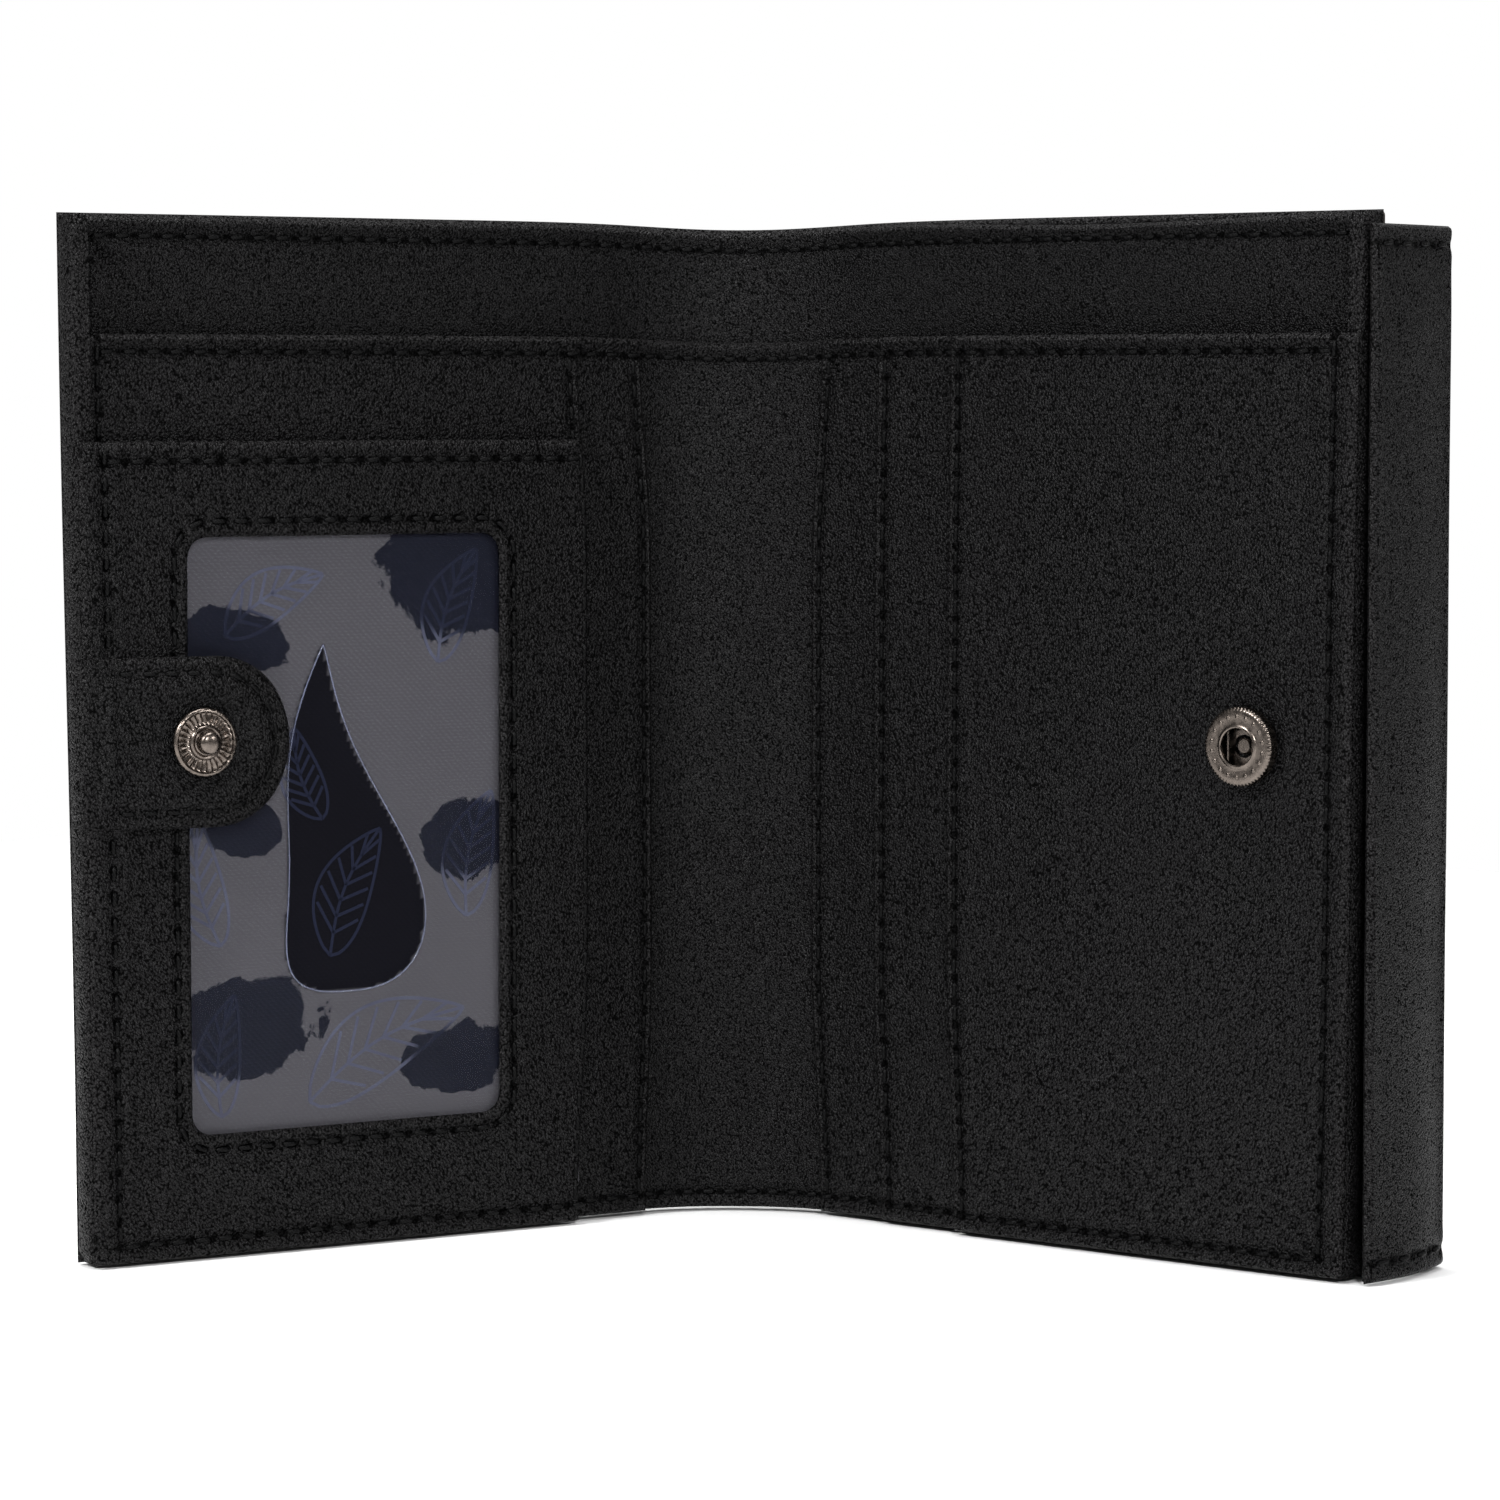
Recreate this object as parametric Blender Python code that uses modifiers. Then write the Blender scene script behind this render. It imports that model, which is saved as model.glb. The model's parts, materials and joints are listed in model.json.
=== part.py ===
"""A trifold wallet in black leather: cover leaf, middle leaf and zipped coin leaf.

The wallet stands on its bottom edges, open like a book.  Lengths are in metres,
+Z is up.  Every body is drawn in its own flat frame, as if the wallet lay open in
the XZ plane: local X runs along the leaf, local -Y points to the side that holds
the cards, and the leather's outer face is at local Y = 0.  An empty on each fold
line carries its body, so turning the empties folds the wallet.
"""

import math

import bmesh
import bpy
from mathutils import Vector

MM = 0.001

# ---- driving dimensions -------------------------------------------------------
HEIGHT = 127.0 * MM
LEAF_LENGTH = 86.0 * MM  # from a main fold line to the leaf's free edge
SPINE_WIDTH = 17.0 * MM  # between the two main fold lines
COIN_SPINE_WIDTH = 18.0 * MM  # between the two fold lines of the coin strip
COIN_THICKNESS = 11.4 * MM
COIN_END = 84.0 * MM  # from the coin leaf's fold line to its far end
OPEN_ANGLE = math.radians(110.5)  # between the cover and the middle leaf
GAP = 0.3 * MM  # air between neighbours, which really touch

# ---- sheet thicknesses --------------------------------------------------------
OUTER_T = 0.9 * MM  # leather with its stiffening board
LINING_T = 0.4 * MM
WALL_T = 0.5 * MM
POCKET_T = 0.4 * MM
PRINT_T = 0.2 * MM
FILM_T = 0.2 * MM
RIVET_T = 0.3 * MM

# ---- heights ------------------------------------------------------------------
BILL_TOP = 112.5 * MM
ID_TOP = 99.6 * MM
HEM_DROP = 0.4 * MM  # a lining stops this far short of the outer leather
STRIP_TOP = 125.3 * MM
COIN_TOP = 125.2 * MM
SNAP_Z = 63.3 * MM

# ---- pocket mouths and snap, from the fold line or from the free edge ---------
OUTER_CUT = 1.0 * MM  # outer leather stops this far from a main fold line
INNER_CUT = 2.7 * MM  # linings stop this far from a main fold line
MIDDLE_MOUTHS = (2.8 * MM, 13.6 * MM, 26.0 * MM)
COVER_MOUTHS = (5.3 * MM, 15.6 * MM)
ID_EDGE = 16.4 * MM
SNAP_FROM_EDGE = 15.45 * MM  # stud and socket alike, so that they meet when it closes
TAB_TIP_FROM_EDGE = 26.4 * MM
TAB_ROOT_FROM_EDGE = 1.2 * MM
TAB_CREASE_FROM_EDGE = 4.0 * MM
TAB_HALF_HEIGHT = 10.4 * MM
TAB_T = 1.3 * MM

# ---- snap -----------------------------------------------------------------------
RIVET_R = 3.6 * MM  # flange of both rivets
CHAMFER = 0.2 * MM
SOCKET_R = 4.75 * MM
SOCKET_FACE_R = 4.3 * MM
SOCKET_MOUTH_R = 2.3 * MM
SOCKET_BORE_R = 3.4 * MM  # the hollow that holds the spring
SOCKET_EYE_R = 1.4 * MM  # hole in its back, for the rivet
SOCKET_WALL = 0.4 * MM
SOCKET_POST_R = 1.0 * MM
STUD_BALL_R = 1.4 * MM
STUD_NECK_R = 1.25 * MM
STUD_TIP_R = 0.7 * MM
STUD_COLLAR_R = 1.8 * MM
STUD_DISH_R = (2.4 * MM, 3.5 * MM)
STUD_RIM_R = 3.75 * MM
STUD_R = 4.2 * MM
STUD_HEIGHT = 2.6 * MM
STUD_DISH = 0.45 * MM  # height of the dish between rim and collar
STUD_RIM = 0.8 * MM  # height of the rim
STUD_BORE_R = 1.0 * MM
STUD_POST_R = 0.7 * MM
SPRING_HALF_WIDTH = 1.75 * MM
SPRING_WIRE_R = 0.2 * MM
SPRING_LEG_END = 2.3 * MM
SPRING_ARC_START = -1.8 * MM
SPRING_ARC_DROP = 1.0 * MM

# ---- window -------------------------------------------------------------------
WINDOW_FROM_EDGE = (14.6 * MM, 57.2 * MM)
WINDOW_Z = (15.1 * MM, 88.0 * MM)
WINDOW_RADIUS = 2.4 * MM
FILM_MARGIN = 3.0 * MM
CUTOUT_CENTRE = (35.5 * MM, 42.0 * MM)  # from the free edge, height
CUTOUT_RADIUS = 9.0 * MM
CUTOUT_HEIGHT = 42.0 * MM

# ---- zip ----------------------------------------------------------------------
ZIP_TAPE_Z = (122.8 * MM, 123.3 * MM)
ZIP_TEETH_Z = (122.2 * MM, 123.9 * MM)
ZIP_ENDS = (3.5 * MM, 80.3 * MM)
ZIP_PITCH = 1.6 * MM
SLIDER_AT = 8.0 * MM
SLIDER_LENGTH = 9.0 * MM
SLIDER_WIDTH = 7.2 * MM
SLIDER_AIR = 0.4 * MM  # between the slider's plates and what runs in it
SLIDER_LIP = 1.05 * MM
BRIDGE_HALF = 0.25 * MM
BAIL = (1.8 * MM, 2.1 * MM, 1.0 * MM)  # half width, height and thickness
BAIL_WIRE = 0.8 * MM
PULL_NECK = (5.0 * MM, 8.0 * MM)  # where the pull starts and stops widening
PULL_NECK_HALF = 1.6 * MM
PULL_CORNER = 2.0 * MM
PULL_SLOT = (2.5 * MM, 0.85 * MM)  # length from the bar and half width
SLIDER_PLATE_T = 0.8 * MM
PULL_LENGTH = 17.0 * MM
PULL_WIDTH = 4.6 * MM
PULL_T = 0.8 * MM

ARC_POINTS = 5  # points on each rounded corner
ROUND_STEPS = 32  # steps round a turned piece

COLLECTION = "trifold_wallet"


# ---- scene, materials and frames ------------------------------------------------
def clear_scene():
    """Remove every object, so that the script starts from nothing."""
    for obj in list(bpy.data.objects):
        bpy.data.objects.remove(obj, do_unlink=True)


def collection(name):
    """A collection linked to the scene."""
    made = bpy.data.collections.new(name)
    bpy.context.scene.collection.children.link(made)
    return made


def material(name, colour, roughness, metallic=0.0, alpha=1.0):
    """A Principled material."""
    made = bpy.data.materials.new(name)
    made.use_nodes = True
    shader = made.node_tree.nodes["Principled BSDF"]
    shader.inputs["Base Color"].default_value = (*colour, 1.0)
    shader.inputs["Roughness"].default_value = roughness
    shader.inputs["Metallic"].default_value = metallic
    shader.inputs["Alpha"].default_value = alpha
    return made


def frame_empty(name, parent, at=(0.0, 0.0, 0.0), turn=0.0):
    """An empty on a fold line, turned about Z, that carries a body."""
    empty = bpy.data.objects.new(name, None)
    empty.empty_display_size = 0.01
    empty.parent = parent
    empty.location = at
    empty.rotation_euler = (0.0, 0.0, turn)
    PARTS.objects.link(empty)
    return empty


def adopt(obj, body, finish):
    """Give an object its parent, its material and its place in the parts collection."""
    obj.parent = body
    obj.data.materials.append(finish)
    if obj.name not in PARTS.objects:
        PARTS.objects.link(obj)
    return obj


# ---- outlines -------------------------------------------------------------------
def rounded(corners):
    """Outline through (x, y, radius) corners, each corner an arc tangent to its sides."""
    points = []
    count = len(corners)
    for i, (x, y, radius) in enumerate(corners):
        here = Vector((x, y))
        if radius <= 0.0:
            points.append(here)
            continue
        before = (Vector(corners[i - 1][:2]) - here).normalized()
        after = (Vector(corners[(i + 1) % count][:2]) - here).normalized()
        half = before.angle(after) / 2
        centre = here + (before + after).normalized() * (radius / math.sin(half))
        start = here + before * (radius / math.tan(half)) - centre
        sweep = start.angle_signed(here + after * (radius / math.tan(half)) - centre)
        first = math.atan2(start.y, start.x)
        for k in range(ARC_POINTS):
            angle = first - sweep * k / (ARC_POINTS - 1)
            points.append(centre + radius * Vector((math.cos(angle), math.sin(angle))))
    return points


def rectangle(x0, x1, y0, y1, radius=0.0):
    """Rectangular outline with rounded corners."""
    return rounded([(x0, y0, radius), (x1, y0, radius), (x1, y1, radius), (x0, y1, radius)])


def circle(x, y, radius, steps=20):
    """Round outline."""
    turn = 2 * math.pi / steps
    return [Vector((x + radius * math.cos(turn * k), y + radius * math.sin(turn * k))) for k in range(steps)]


def teardrop(x, y, radius, height, steps=28):
    """Leaning teardrop: a circle's lower half, its upper half drawn up to a bent point."""
    points = []
    for k in range(steps):
        angle = 2 * math.pi * k / steps - math.pi / 2
        rise = max(math.sin(angle), 0.0)
        width = radius * math.cos(angle) * (1 - 0.45 * rise)
        lean = -0.35 * radius * math.sin(math.pi * rise)
        up = radius * math.sin(angle) + (height - 2 * radius) * rise**2
        points.append(Vector((x + width + lean, y + up)))
    return points


def add_spline(curve, points):
    """Close a straight-sided spline through the points."""
    spline = curve.splines.new("POLY")
    spline.points.add(len(points) - 1)
    for knot, point in zip(spline.points, points):
        knot.co = (point.x, point.y, 0.0, 1.0)
    spline.use_cyclic_u = True


def flat_curve(name, outlines, thickness):
    """A filled 2D curve, extruded by half its thickness to each side."""
    curve = bpy.data.curves.new(name, "CURVE")
    curve.dimensions = "2D"
    curve.fill_mode = "BOTH"
    curve.extrude = thickness / 2
    for points in outlines:
        add_spline(curve, points)
    return bpy.data.objects.new(name, curve)


def sheet(name, body, finish, outlines, depth):
    """A sheet parallel to the leaf: outlines in local X and Z, depth in local -Y."""
    obj = flat_curve(name, outlines, depth[1] - depth[0])
    obj.rotation_euler = (math.pi / 2, 0.0, 0.0)
    obj.location = (0.0, -(depth[0] + depth[1]) / 2, 0.0)
    return adopt(obj, body, finish)


def level(name, body, finish, outlines, heights):
    """A sheet that lies level: outlines in local X and Y, between two heights."""
    obj = flat_curve(name, outlines, heights[1] - heights[0])
    obj.location = (0.0, 0.0, (heights[0] + heights[1]) / 2)
    return adopt(obj, body, finish)


def upright(name, body, finish, outlines, span):
    """A sheet across the leaf: outlines in local Y and Z, between two places along X."""
    obj = flat_curve(name, outlines, span[1] - span[0])
    obj.rotation_euler = (math.pi / 2, 0.0, math.pi / 2)
    obj.location = ((span[0] + span[1]) / 2, 0.0, 0.0)
    return adopt(obj, body, finish)


def turned(name, body, finish, profile, at, height):
    """A turned piece on an axis along local -Y: profile of (radius, depth) points.

    The profile runs down the outer side first, with depth growing towards -Y, and a
    closed one repeats its first point.
    """
    mesh = bpy.data.meshes.new(name)
    points = [(radius, 0.0, depth) for radius, depth in profile]
    mesh.from_pydata(points, [(k, k + 1) for k in range(len(points) - 1)], [])
    obj = bpy.data.objects.new(name, mesh)
    screw = obj.modifiers.new("turn", "SCREW")
    screw.steps = ROUND_STEPS
    screw.render_steps = ROUND_STEPS
    screw.use_merge_vertices = True
    screw.merge_threshold = 0.00001
    screw.use_smooth_shade = True
    obj.rotation_euler = (math.pi / 2, 0.0, 0.0)
    obj.location = (at, 0.0, height)
    return adopt(obj, body, finish)


def stacked(first, *thicknesses):
    """Depth ranges of sheets laid on each other with a gap between neighbours."""
    ranges = []
    low = first
    for thickness in thicknesses:
        ranges.append((low, low + thickness))
        low += thickness + GAP
    return ranges


# ---- leaves ---------------------------------------------------------------------
def build_middle_leaf(body):
    """The middle leaf: outer panel, bill compartment, three card pockets and the socket."""
    outer, lining, wall, back, middle, rivet, front, socket = stacked(
        0.0, OUTER_T, LINING_T, WALL_T, POCKET_T, POCKET_T, RIVET_T, WALL_T, 2.0 * MM
    )
    edge = LEAF_LENGTH
    inner_edge = edge - HEM_DROP
    sheet("middle_outer_panel", body, LEATHER,
          [rectangle(OUTER_CUT, edge, 0.0, HEIGHT, 1.0 * MM)], outer)
    sheet("middle_bill_lining", body, LINING,
          [rectangle(INNER_CUT, inner_edge, HEM_DROP, HEIGHT - HEM_DROP, 1.0 * MM)], lining)
    sheet("middle_bill_wall", body, LINING,
          [rectangle(INNER_CUT, inner_edge, HEM_DROP, BILL_TOP)], wall)
    names = ("card_pocket_back", "card_pocket_middle")
    for name, mouth, depth in zip(names, MIDDLE_MOUTHS, (back, middle)):
        sheet(name, body, LEATHER, [rectangle(mouth, inner_edge, HEM_DROP, BILL_TOP)], depth)
    snap = edge - SNAP_FROM_EDGE
    panel = rectangle(MIDDLE_MOUTHS[2], inner_edge, HEM_DROP, BILL_TOP)
    sheet("card_pocket_front", body, LEATHER, [panel, circle(snap, SNAP_Z, 1.5 * MM)], front)
    build_socket(body, snap, rivet[0], socket)
    return socket[0]


def build_socket(body, at, rivet_depth, socket):
    """The snap's socket: a hollow ring, its U spring inside and the rivet behind it."""
    low, high = socket
    roof, floor = high - SOCKET_WALL, low + RIVET_T
    profile = [
        (SOCKET_EYE_R, low), (SOCKET_FACE_R, low), (SOCKET_R, low + SOCKET_WALL), (SOCKET_R, roof),
        (SOCKET_FACE_R, high), (SOCKET_MOUTH_R, high), (SOCKET_MOUTH_R, roof), (SOCKET_BORE_R, roof),
        (SOCKET_BORE_R, floor), (SOCKET_EYE_R, floor), (SOCKET_EYE_R, low),
    ]
    turned("socket_body", body, METAL, profile[::-1], at, SNAP_Z)
    post_top = low + SOCKET_WALL
    rivet = [
        (0.0, post_top), (SOCKET_POST_R - CHAMFER, post_top), (SOCKET_POST_R, post_top - CHAMFER),
        (SOCKET_POST_R, rivet_depth + RIVET_T), (RIVET_R, rivet_depth + RIVET_T),
        (RIVET_R, rivet_depth), (0.0, rivet_depth),
    ]
    turned("socket_rivet", body, METAL, rivet, at, SNAP_Z)
    build_spring(body, at, (low + high) / 2 + 0.1 * MM)


def build_spring(body, at, depth):
    """The spring that grips the stud: one wire, two straight legs joined by an arc."""
    route = [(-SPRING_HALF_WIDTH, SPRING_LEG_END)]
    for k in range(9):
        angle = math.pi * k / 8
        drop = SPRING_ARC_DROP * math.sin(angle)
        route.append((-SPRING_HALF_WIDTH * math.cos(angle), SPRING_ARC_START - drop))
    route.append((SPRING_HALF_WIDTH, SPRING_LEG_END))
    curve = bpy.data.curves.new("socket_spring", "CURVE")
    curve.dimensions = "3D"
    curve.bevel_depth = SPRING_WIRE_R
    curve.bevel_resolution = 2
    curve.use_fill_caps = True
    spline = curve.splines.new("POLY")
    spline.points.add(len(route) - 1)
    for knot, (x, y) in zip(spline.points, route):
        knot.co = (x, y, 0.0, 1.0)
    obj = bpy.data.objects.new("socket_spring", curve)
    obj.rotation_euler = (math.pi / 2, 0.0, 0.0)
    obj.location = (at, -depth, SNAP_Z)
    adopt(obj, body, METAL)


def build_cover_leaf(body):
    """The cover leaf: outer panel, bill compartment, two card pockets and the ID window."""
    outer, lining, wall, back, inner, print_depth, film, front, rivet = stacked(
        0.0, OUTER_T, LINING_T, WALL_T, POCKET_T, POCKET_T, PRINT_T, FILM_T, WALL_T, RIVET_T
    )
    edge = -LEAF_LENGTH
    inner_edge = edge + HEM_DROP
    sheet("cover_outer_panel", body, LEATHER,
          [rectangle(edge, -OUTER_CUT, 0.0, HEIGHT, 1.0 * MM)], outer)
    sheet("cover_bill_lining", body, LINING,
          [rectangle(inner_edge, -INNER_CUT, HEM_DROP, HEIGHT - HEM_DROP, 1.0 * MM)], lining)
    sheet("cover_bill_wall", body, LINING,
          [rectangle(inner_edge, -INNER_CUT, HEM_DROP, BILL_TOP)], wall)
    names = ("cover_card_pocket_back", "cover_card_pocket_front")
    for name, mouth, depth in zip(names, COVER_MOUTHS, (back, inner)):
        sheet(name, body, LEATHER, [rectangle(inner_edge, -mouth, HEM_DROP, BILL_TOP)], depth)
    window = (edge + WINDOW_FROM_EDGE[0], edge + WINDOW_FROM_EDGE[1])
    sheet("id_printed_backing", body, PRINTED,
          [rectangle(inner_edge, -ID_EDGE, HEM_DROP, ID_TOP - HEM_DROP)], print_depth)
    film_outline = rectangle(window[0] - FILM_MARGIN, window[1] + FILM_MARGIN,
                             WINDOW_Z[0] - FILM_MARGIN, WINDOW_Z[1] + FILM_MARGIN)
    cutout = teardrop(edge + CUTOUT_CENTRE[0], CUTOUT_CENTRE[1], CUTOUT_RADIUS, CUTOUT_HEIGHT)
    sheet("id_window_film", body, VINYL, [film_outline, cutout], film)
    opening = rectangle(window[0], window[1], WINDOW_Z[0], WINDOW_Z[1], WINDOW_RADIUS)
    sheet("id_pocket_front", body, LEATHER,
          [rectangle(inner_edge, -ID_EDGE, HEM_DROP, ID_TOP), opening], front)
    return rivet


def build_tab(cover, crease, rivet):
    """The closing tab: a sewn root on the cover, and two leathers with the snap's stud."""
    back, front, stud = stacked(rivet[1] + GAP, LINING_T, TAB_T - LINING_T - GAP, STUD_HEIGHT)
    edge = -LEAF_LENGTH
    low, high = SNAP_Z - TAB_HALF_HEIGHT, SNAP_Z + TAB_HALF_HEIGHT
    root = rectangle(edge + TAB_ROOT_FROM_EDGE, edge + TAB_CREASE_FROM_EDGE - GAP, low, high)
    sheet("tab_root", cover, LEATHER, [root], (rivet[0], front[1]))
    body = frame_empty("closing_tab", cover, (edge + crease, -front[1], 0.0))
    shift = Vector((0.0, front[1]))
    reach = TAB_TIP_FROM_EDGE - crease
    corner = min(TAB_HALF_HEIGHT - 0.01 * MM, reach)
    outline = rounded([(GAP, low, 0.0), (reach, low, corner), (reach, high, corner), (GAP, high, 0.0)])
    at = SNAP_FROM_EDGE - crease
    hole = circle(at, SNAP_Z, 1.6 * MM)
    for name, depth in (("tab_back_leather", back), ("tab_front_leather", front)):
        finish = LINING if name == "tab_back_leather" else LEATHER
        sheet(name, body, finish, [outline, hole], (depth[0] - shift.y, depth[1] - shift.y))
    build_stud(body, at, stud[0] - shift.y, rivet[0] - shift.y)
    return body


def build_stud(body, at, depth, rivet_depth):
    """The snap's stud: a rimmed flange with a hollow ball, and the rivet behind it."""
    top = depth + STUD_HEIGHT
    dish, rim_top = depth + STUD_DISH, depth + STUD_RIM
    ball = [(0.0, top), (STUD_TIP_R, top - CHAMFER / 2), (STUD_NECK_R, top - STUD_DISH),
            (STUD_BALL_R, top - STUD_RIM)]
    neck = [(STUD_COLLAR_R, 2 * dish - depth), (STUD_DISH_R[0], dish), (STUD_DISH_R[1], dish)]
    rim = [(STUD_RIM_R, rim_top), (STUD_R - CHAMFER / 2, rim_top - CHAMFER / 2),
           (STUD_R, depth + CHAMFER), (STUD_R - CHAMFER, depth)]
    bore = [(STUD_BORE_R, depth), (STUD_BORE_R, top - STUD_POST_R), (0.0, top - STUD_DISH)]
    turned("stud_body", body, METAL, ball + neck + rim + bore, at, SNAP_Z)
    post_top = depth + STUD_HEIGHT - STUD_BORE_R
    rivet = [
        (0.0, post_top), (STUD_POST_R - CHAMFER, post_top), (STUD_POST_R, post_top - CHAMFER),
        (STUD_POST_R, rivet_depth + RIVET_T), (RIVET_R, rivet_depth + RIVET_T),
        (RIVET_R, rivet_depth), (0.0, rivet_depth),
    ]
    turned("stud_rivet", body, METAL, rivet, at, SNAP_Z)


def build_main_spine(body):
    """The soft spine between cover and middle leaf, with the bill compartment across it."""
    outer, lining, wall = stacked(0.0, OUTER_T, LINING_T, WALL_T)
    ends = (-SPINE_WIDTH + OUTER_CUT, -OUTER_CUT)
    inner = (-SPINE_WIDTH + INNER_CUT, -INNER_CUT)
    sheet("spine_outer_panel", body, LEATHER, [rectangle(*ends, 0.0, HEIGHT)], outer)
    sheet("spine_bill_lining", body, LINING,
          [rectangle(*inner, HEM_DROP, HEIGHT - HEM_DROP)], lining)
    sheet("spine_bill_wall", body, LINING, [rectangle(*inner, HEM_DROP, BILL_TOP)], wall)


# ---- coin leaf ------------------------------------------------------------------
def build_coin_spine(body):
    """The strip that carries the coin leaf round the middle leaf's free edge."""
    ends = (GAP, COIN_SPINE_WIDTH - GAP)
    inner = (1.0 * MM, COIN_SPINE_WIDTH - 1.4 * MM)
    outer = (-WALL_T, 0.0)
    lining = (-WALL_T - GAP - LINING_T, -WALL_T - GAP)
    sheet("coin_strip_outer", body, LINING, [rectangle(*ends, 0.0, STRIP_TOP)], outer)
    sheet("coin_strip_lining", body, LINING,
          [rectangle(*inner, HEM_DROP, STRIP_TOP - HEM_DROP)], lining)


def build_coin_leaf(body):
    """The coin purse: two walls with linings, side and bottom gussets, and the zip."""
    start, end = 1.5 * MM, COIN_END
    front_wall = (-COIN_THICKNESS, -COIN_THICKNESS + 0.6 * MM)
    inside = (OUTER_T + 2 * GAP + LINING_T, COIN_THICKNESS - 0.6 * MM - 2 * GAP - LINING_T)
    outline = rectangle(start, end, 0.0, COIN_TOP, 1.0 * MM)
    lined = rectangle(start + GAP, end - GAP, HEM_DROP, COIN_TOP - 1.2 * MM)
    sheet("coin_back_wall", body, LEATHER, [outline], (-OUTER_T, 0.0))
    sheet("coin_back_lining", body, FABRIC, [lined], (GAP - inside[0], GAP + LINING_T - inside[0]))
    sheet("coin_front_wall", body, LEATHER, [outline], front_wall)
    sheet("coin_front_lining", body, FABRIC, [lined],
          (-inside[1] - GAP - LINING_T, -inside[1] - GAP))
    across = rectangle(*inside, 0.0, ZIP_TEETH_Z[0] - 0.6 * MM)
    fold_t = 0.5 * MM
    upright("coin_gusset_fold_side", body, LINING, [across], (start, start + fold_t))
    upright("coin_gusset_far_side", body, LINING, [across], (end - 2 * fold_t, end - fold_t))
    floor = rectangle(start + fold_t + GAP, end - 2 * fold_t - GAP, *inside)
    level("coin_bottom_gusset", body, LINING, [floor], (0.0, 0.6 * MM))
    build_zip(body, inside)


def tooth_row(y_base, y_root, y_tip):
    """Outline of one row of teeth: a straight back with square teeth on its front."""
    first, last = ZIP_ENDS
    points = [Vector((first, y_base)), Vector((last, y_base)), Vector((last, y_root))]
    tooth = 0.7 * MM
    count = int((last - first) / ZIP_PITCH)
    for k in range(count - 1, -1, -1):
        left = first + k * ZIP_PITCH + 0.3 * MM
        for x, y in ((left + tooth, y_root), (left + tooth, y_tip), (left, y_tip), (left, y_root)):
            points.append(Vector((x, y)))
    points.append(Vector((first, y_root)))
    return points if y_tip > y_base else points[::-1]


def build_zip(body, inside):
    """Two tapes, two rows of teeth and a stop at each end of the zip."""
    middle = sum(inside) / 2
    tape_from, tape_to = ZIP_ENDS[0] - 1.2 * MM, ZIP_ENDS[1] + 2.4 * MM
    inner, root, tip = 1.65 * MM, 1.25 * MM, 0.55 * MM
    edge = inner + GAP
    for name, side, wall in (("outer", -1, inside[0]), ("inner", 1, inside[1])):
        ends = sorted((wall - side * GAP, middle + side * edge))
        level(f"zip_tape_{name}", body, FABRIC, [rectangle(tape_from, tape_to, *ends)], ZIP_TAPE_Z)
        row = tooth_row(middle + side * inner, middle + side * root, middle + side * tip)
        level(f"zip_teeth_{name}", body, METAL, [row], ZIP_TEETH_Z)
    stops = (("zip_top_stop", tape_from, ZIP_ENDS[0] - GAP),
             ("zip_bottom_stop", ZIP_ENDS[1] + GAP, ZIP_ENDS[1] + 1.5 * MM))
    for name, x0, x1 in stops:
        level(name, body, METAL, [rectangle(x0, x1, middle - inner, middle + inner)], ZIP_TEETH_Z)
    build_slider(body, middle)


def union(obj, tool):
    """Join a second closed solid to an object with a Boolean."""
    CUTTERS.objects.link(tool)
    tool.hide_render = True
    tool.display_type = "WIRE"
    modifier = obj.modifiers.new("join", "BOOLEAN")
    modifier.operation = "UNION"
    modifier.solver = "EXACT"
    modifier.object = tool


def as_mesh(obj):
    """A mesh object in place of a curve object, its caps welded."""
    graph = bpy.context.evaluated_depsgraph_get()
    mesh = bpy.data.meshes.new_from_object(obj.evaluated_get(graph))
    work = bmesh.new()
    work.from_mesh(mesh)
    bmesh.ops.remove_doubles(work, verts=work.verts, dist=0.000001)
    work.to_mesh(mesh)
    work.free()
    name = obj.name
    matrix = obj.matrix_world.copy()
    bpy.data.objects.remove(obj, do_unlink=True)
    made = bpy.data.objects.new(name, mesh)
    made.matrix_world = matrix
    return made


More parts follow.
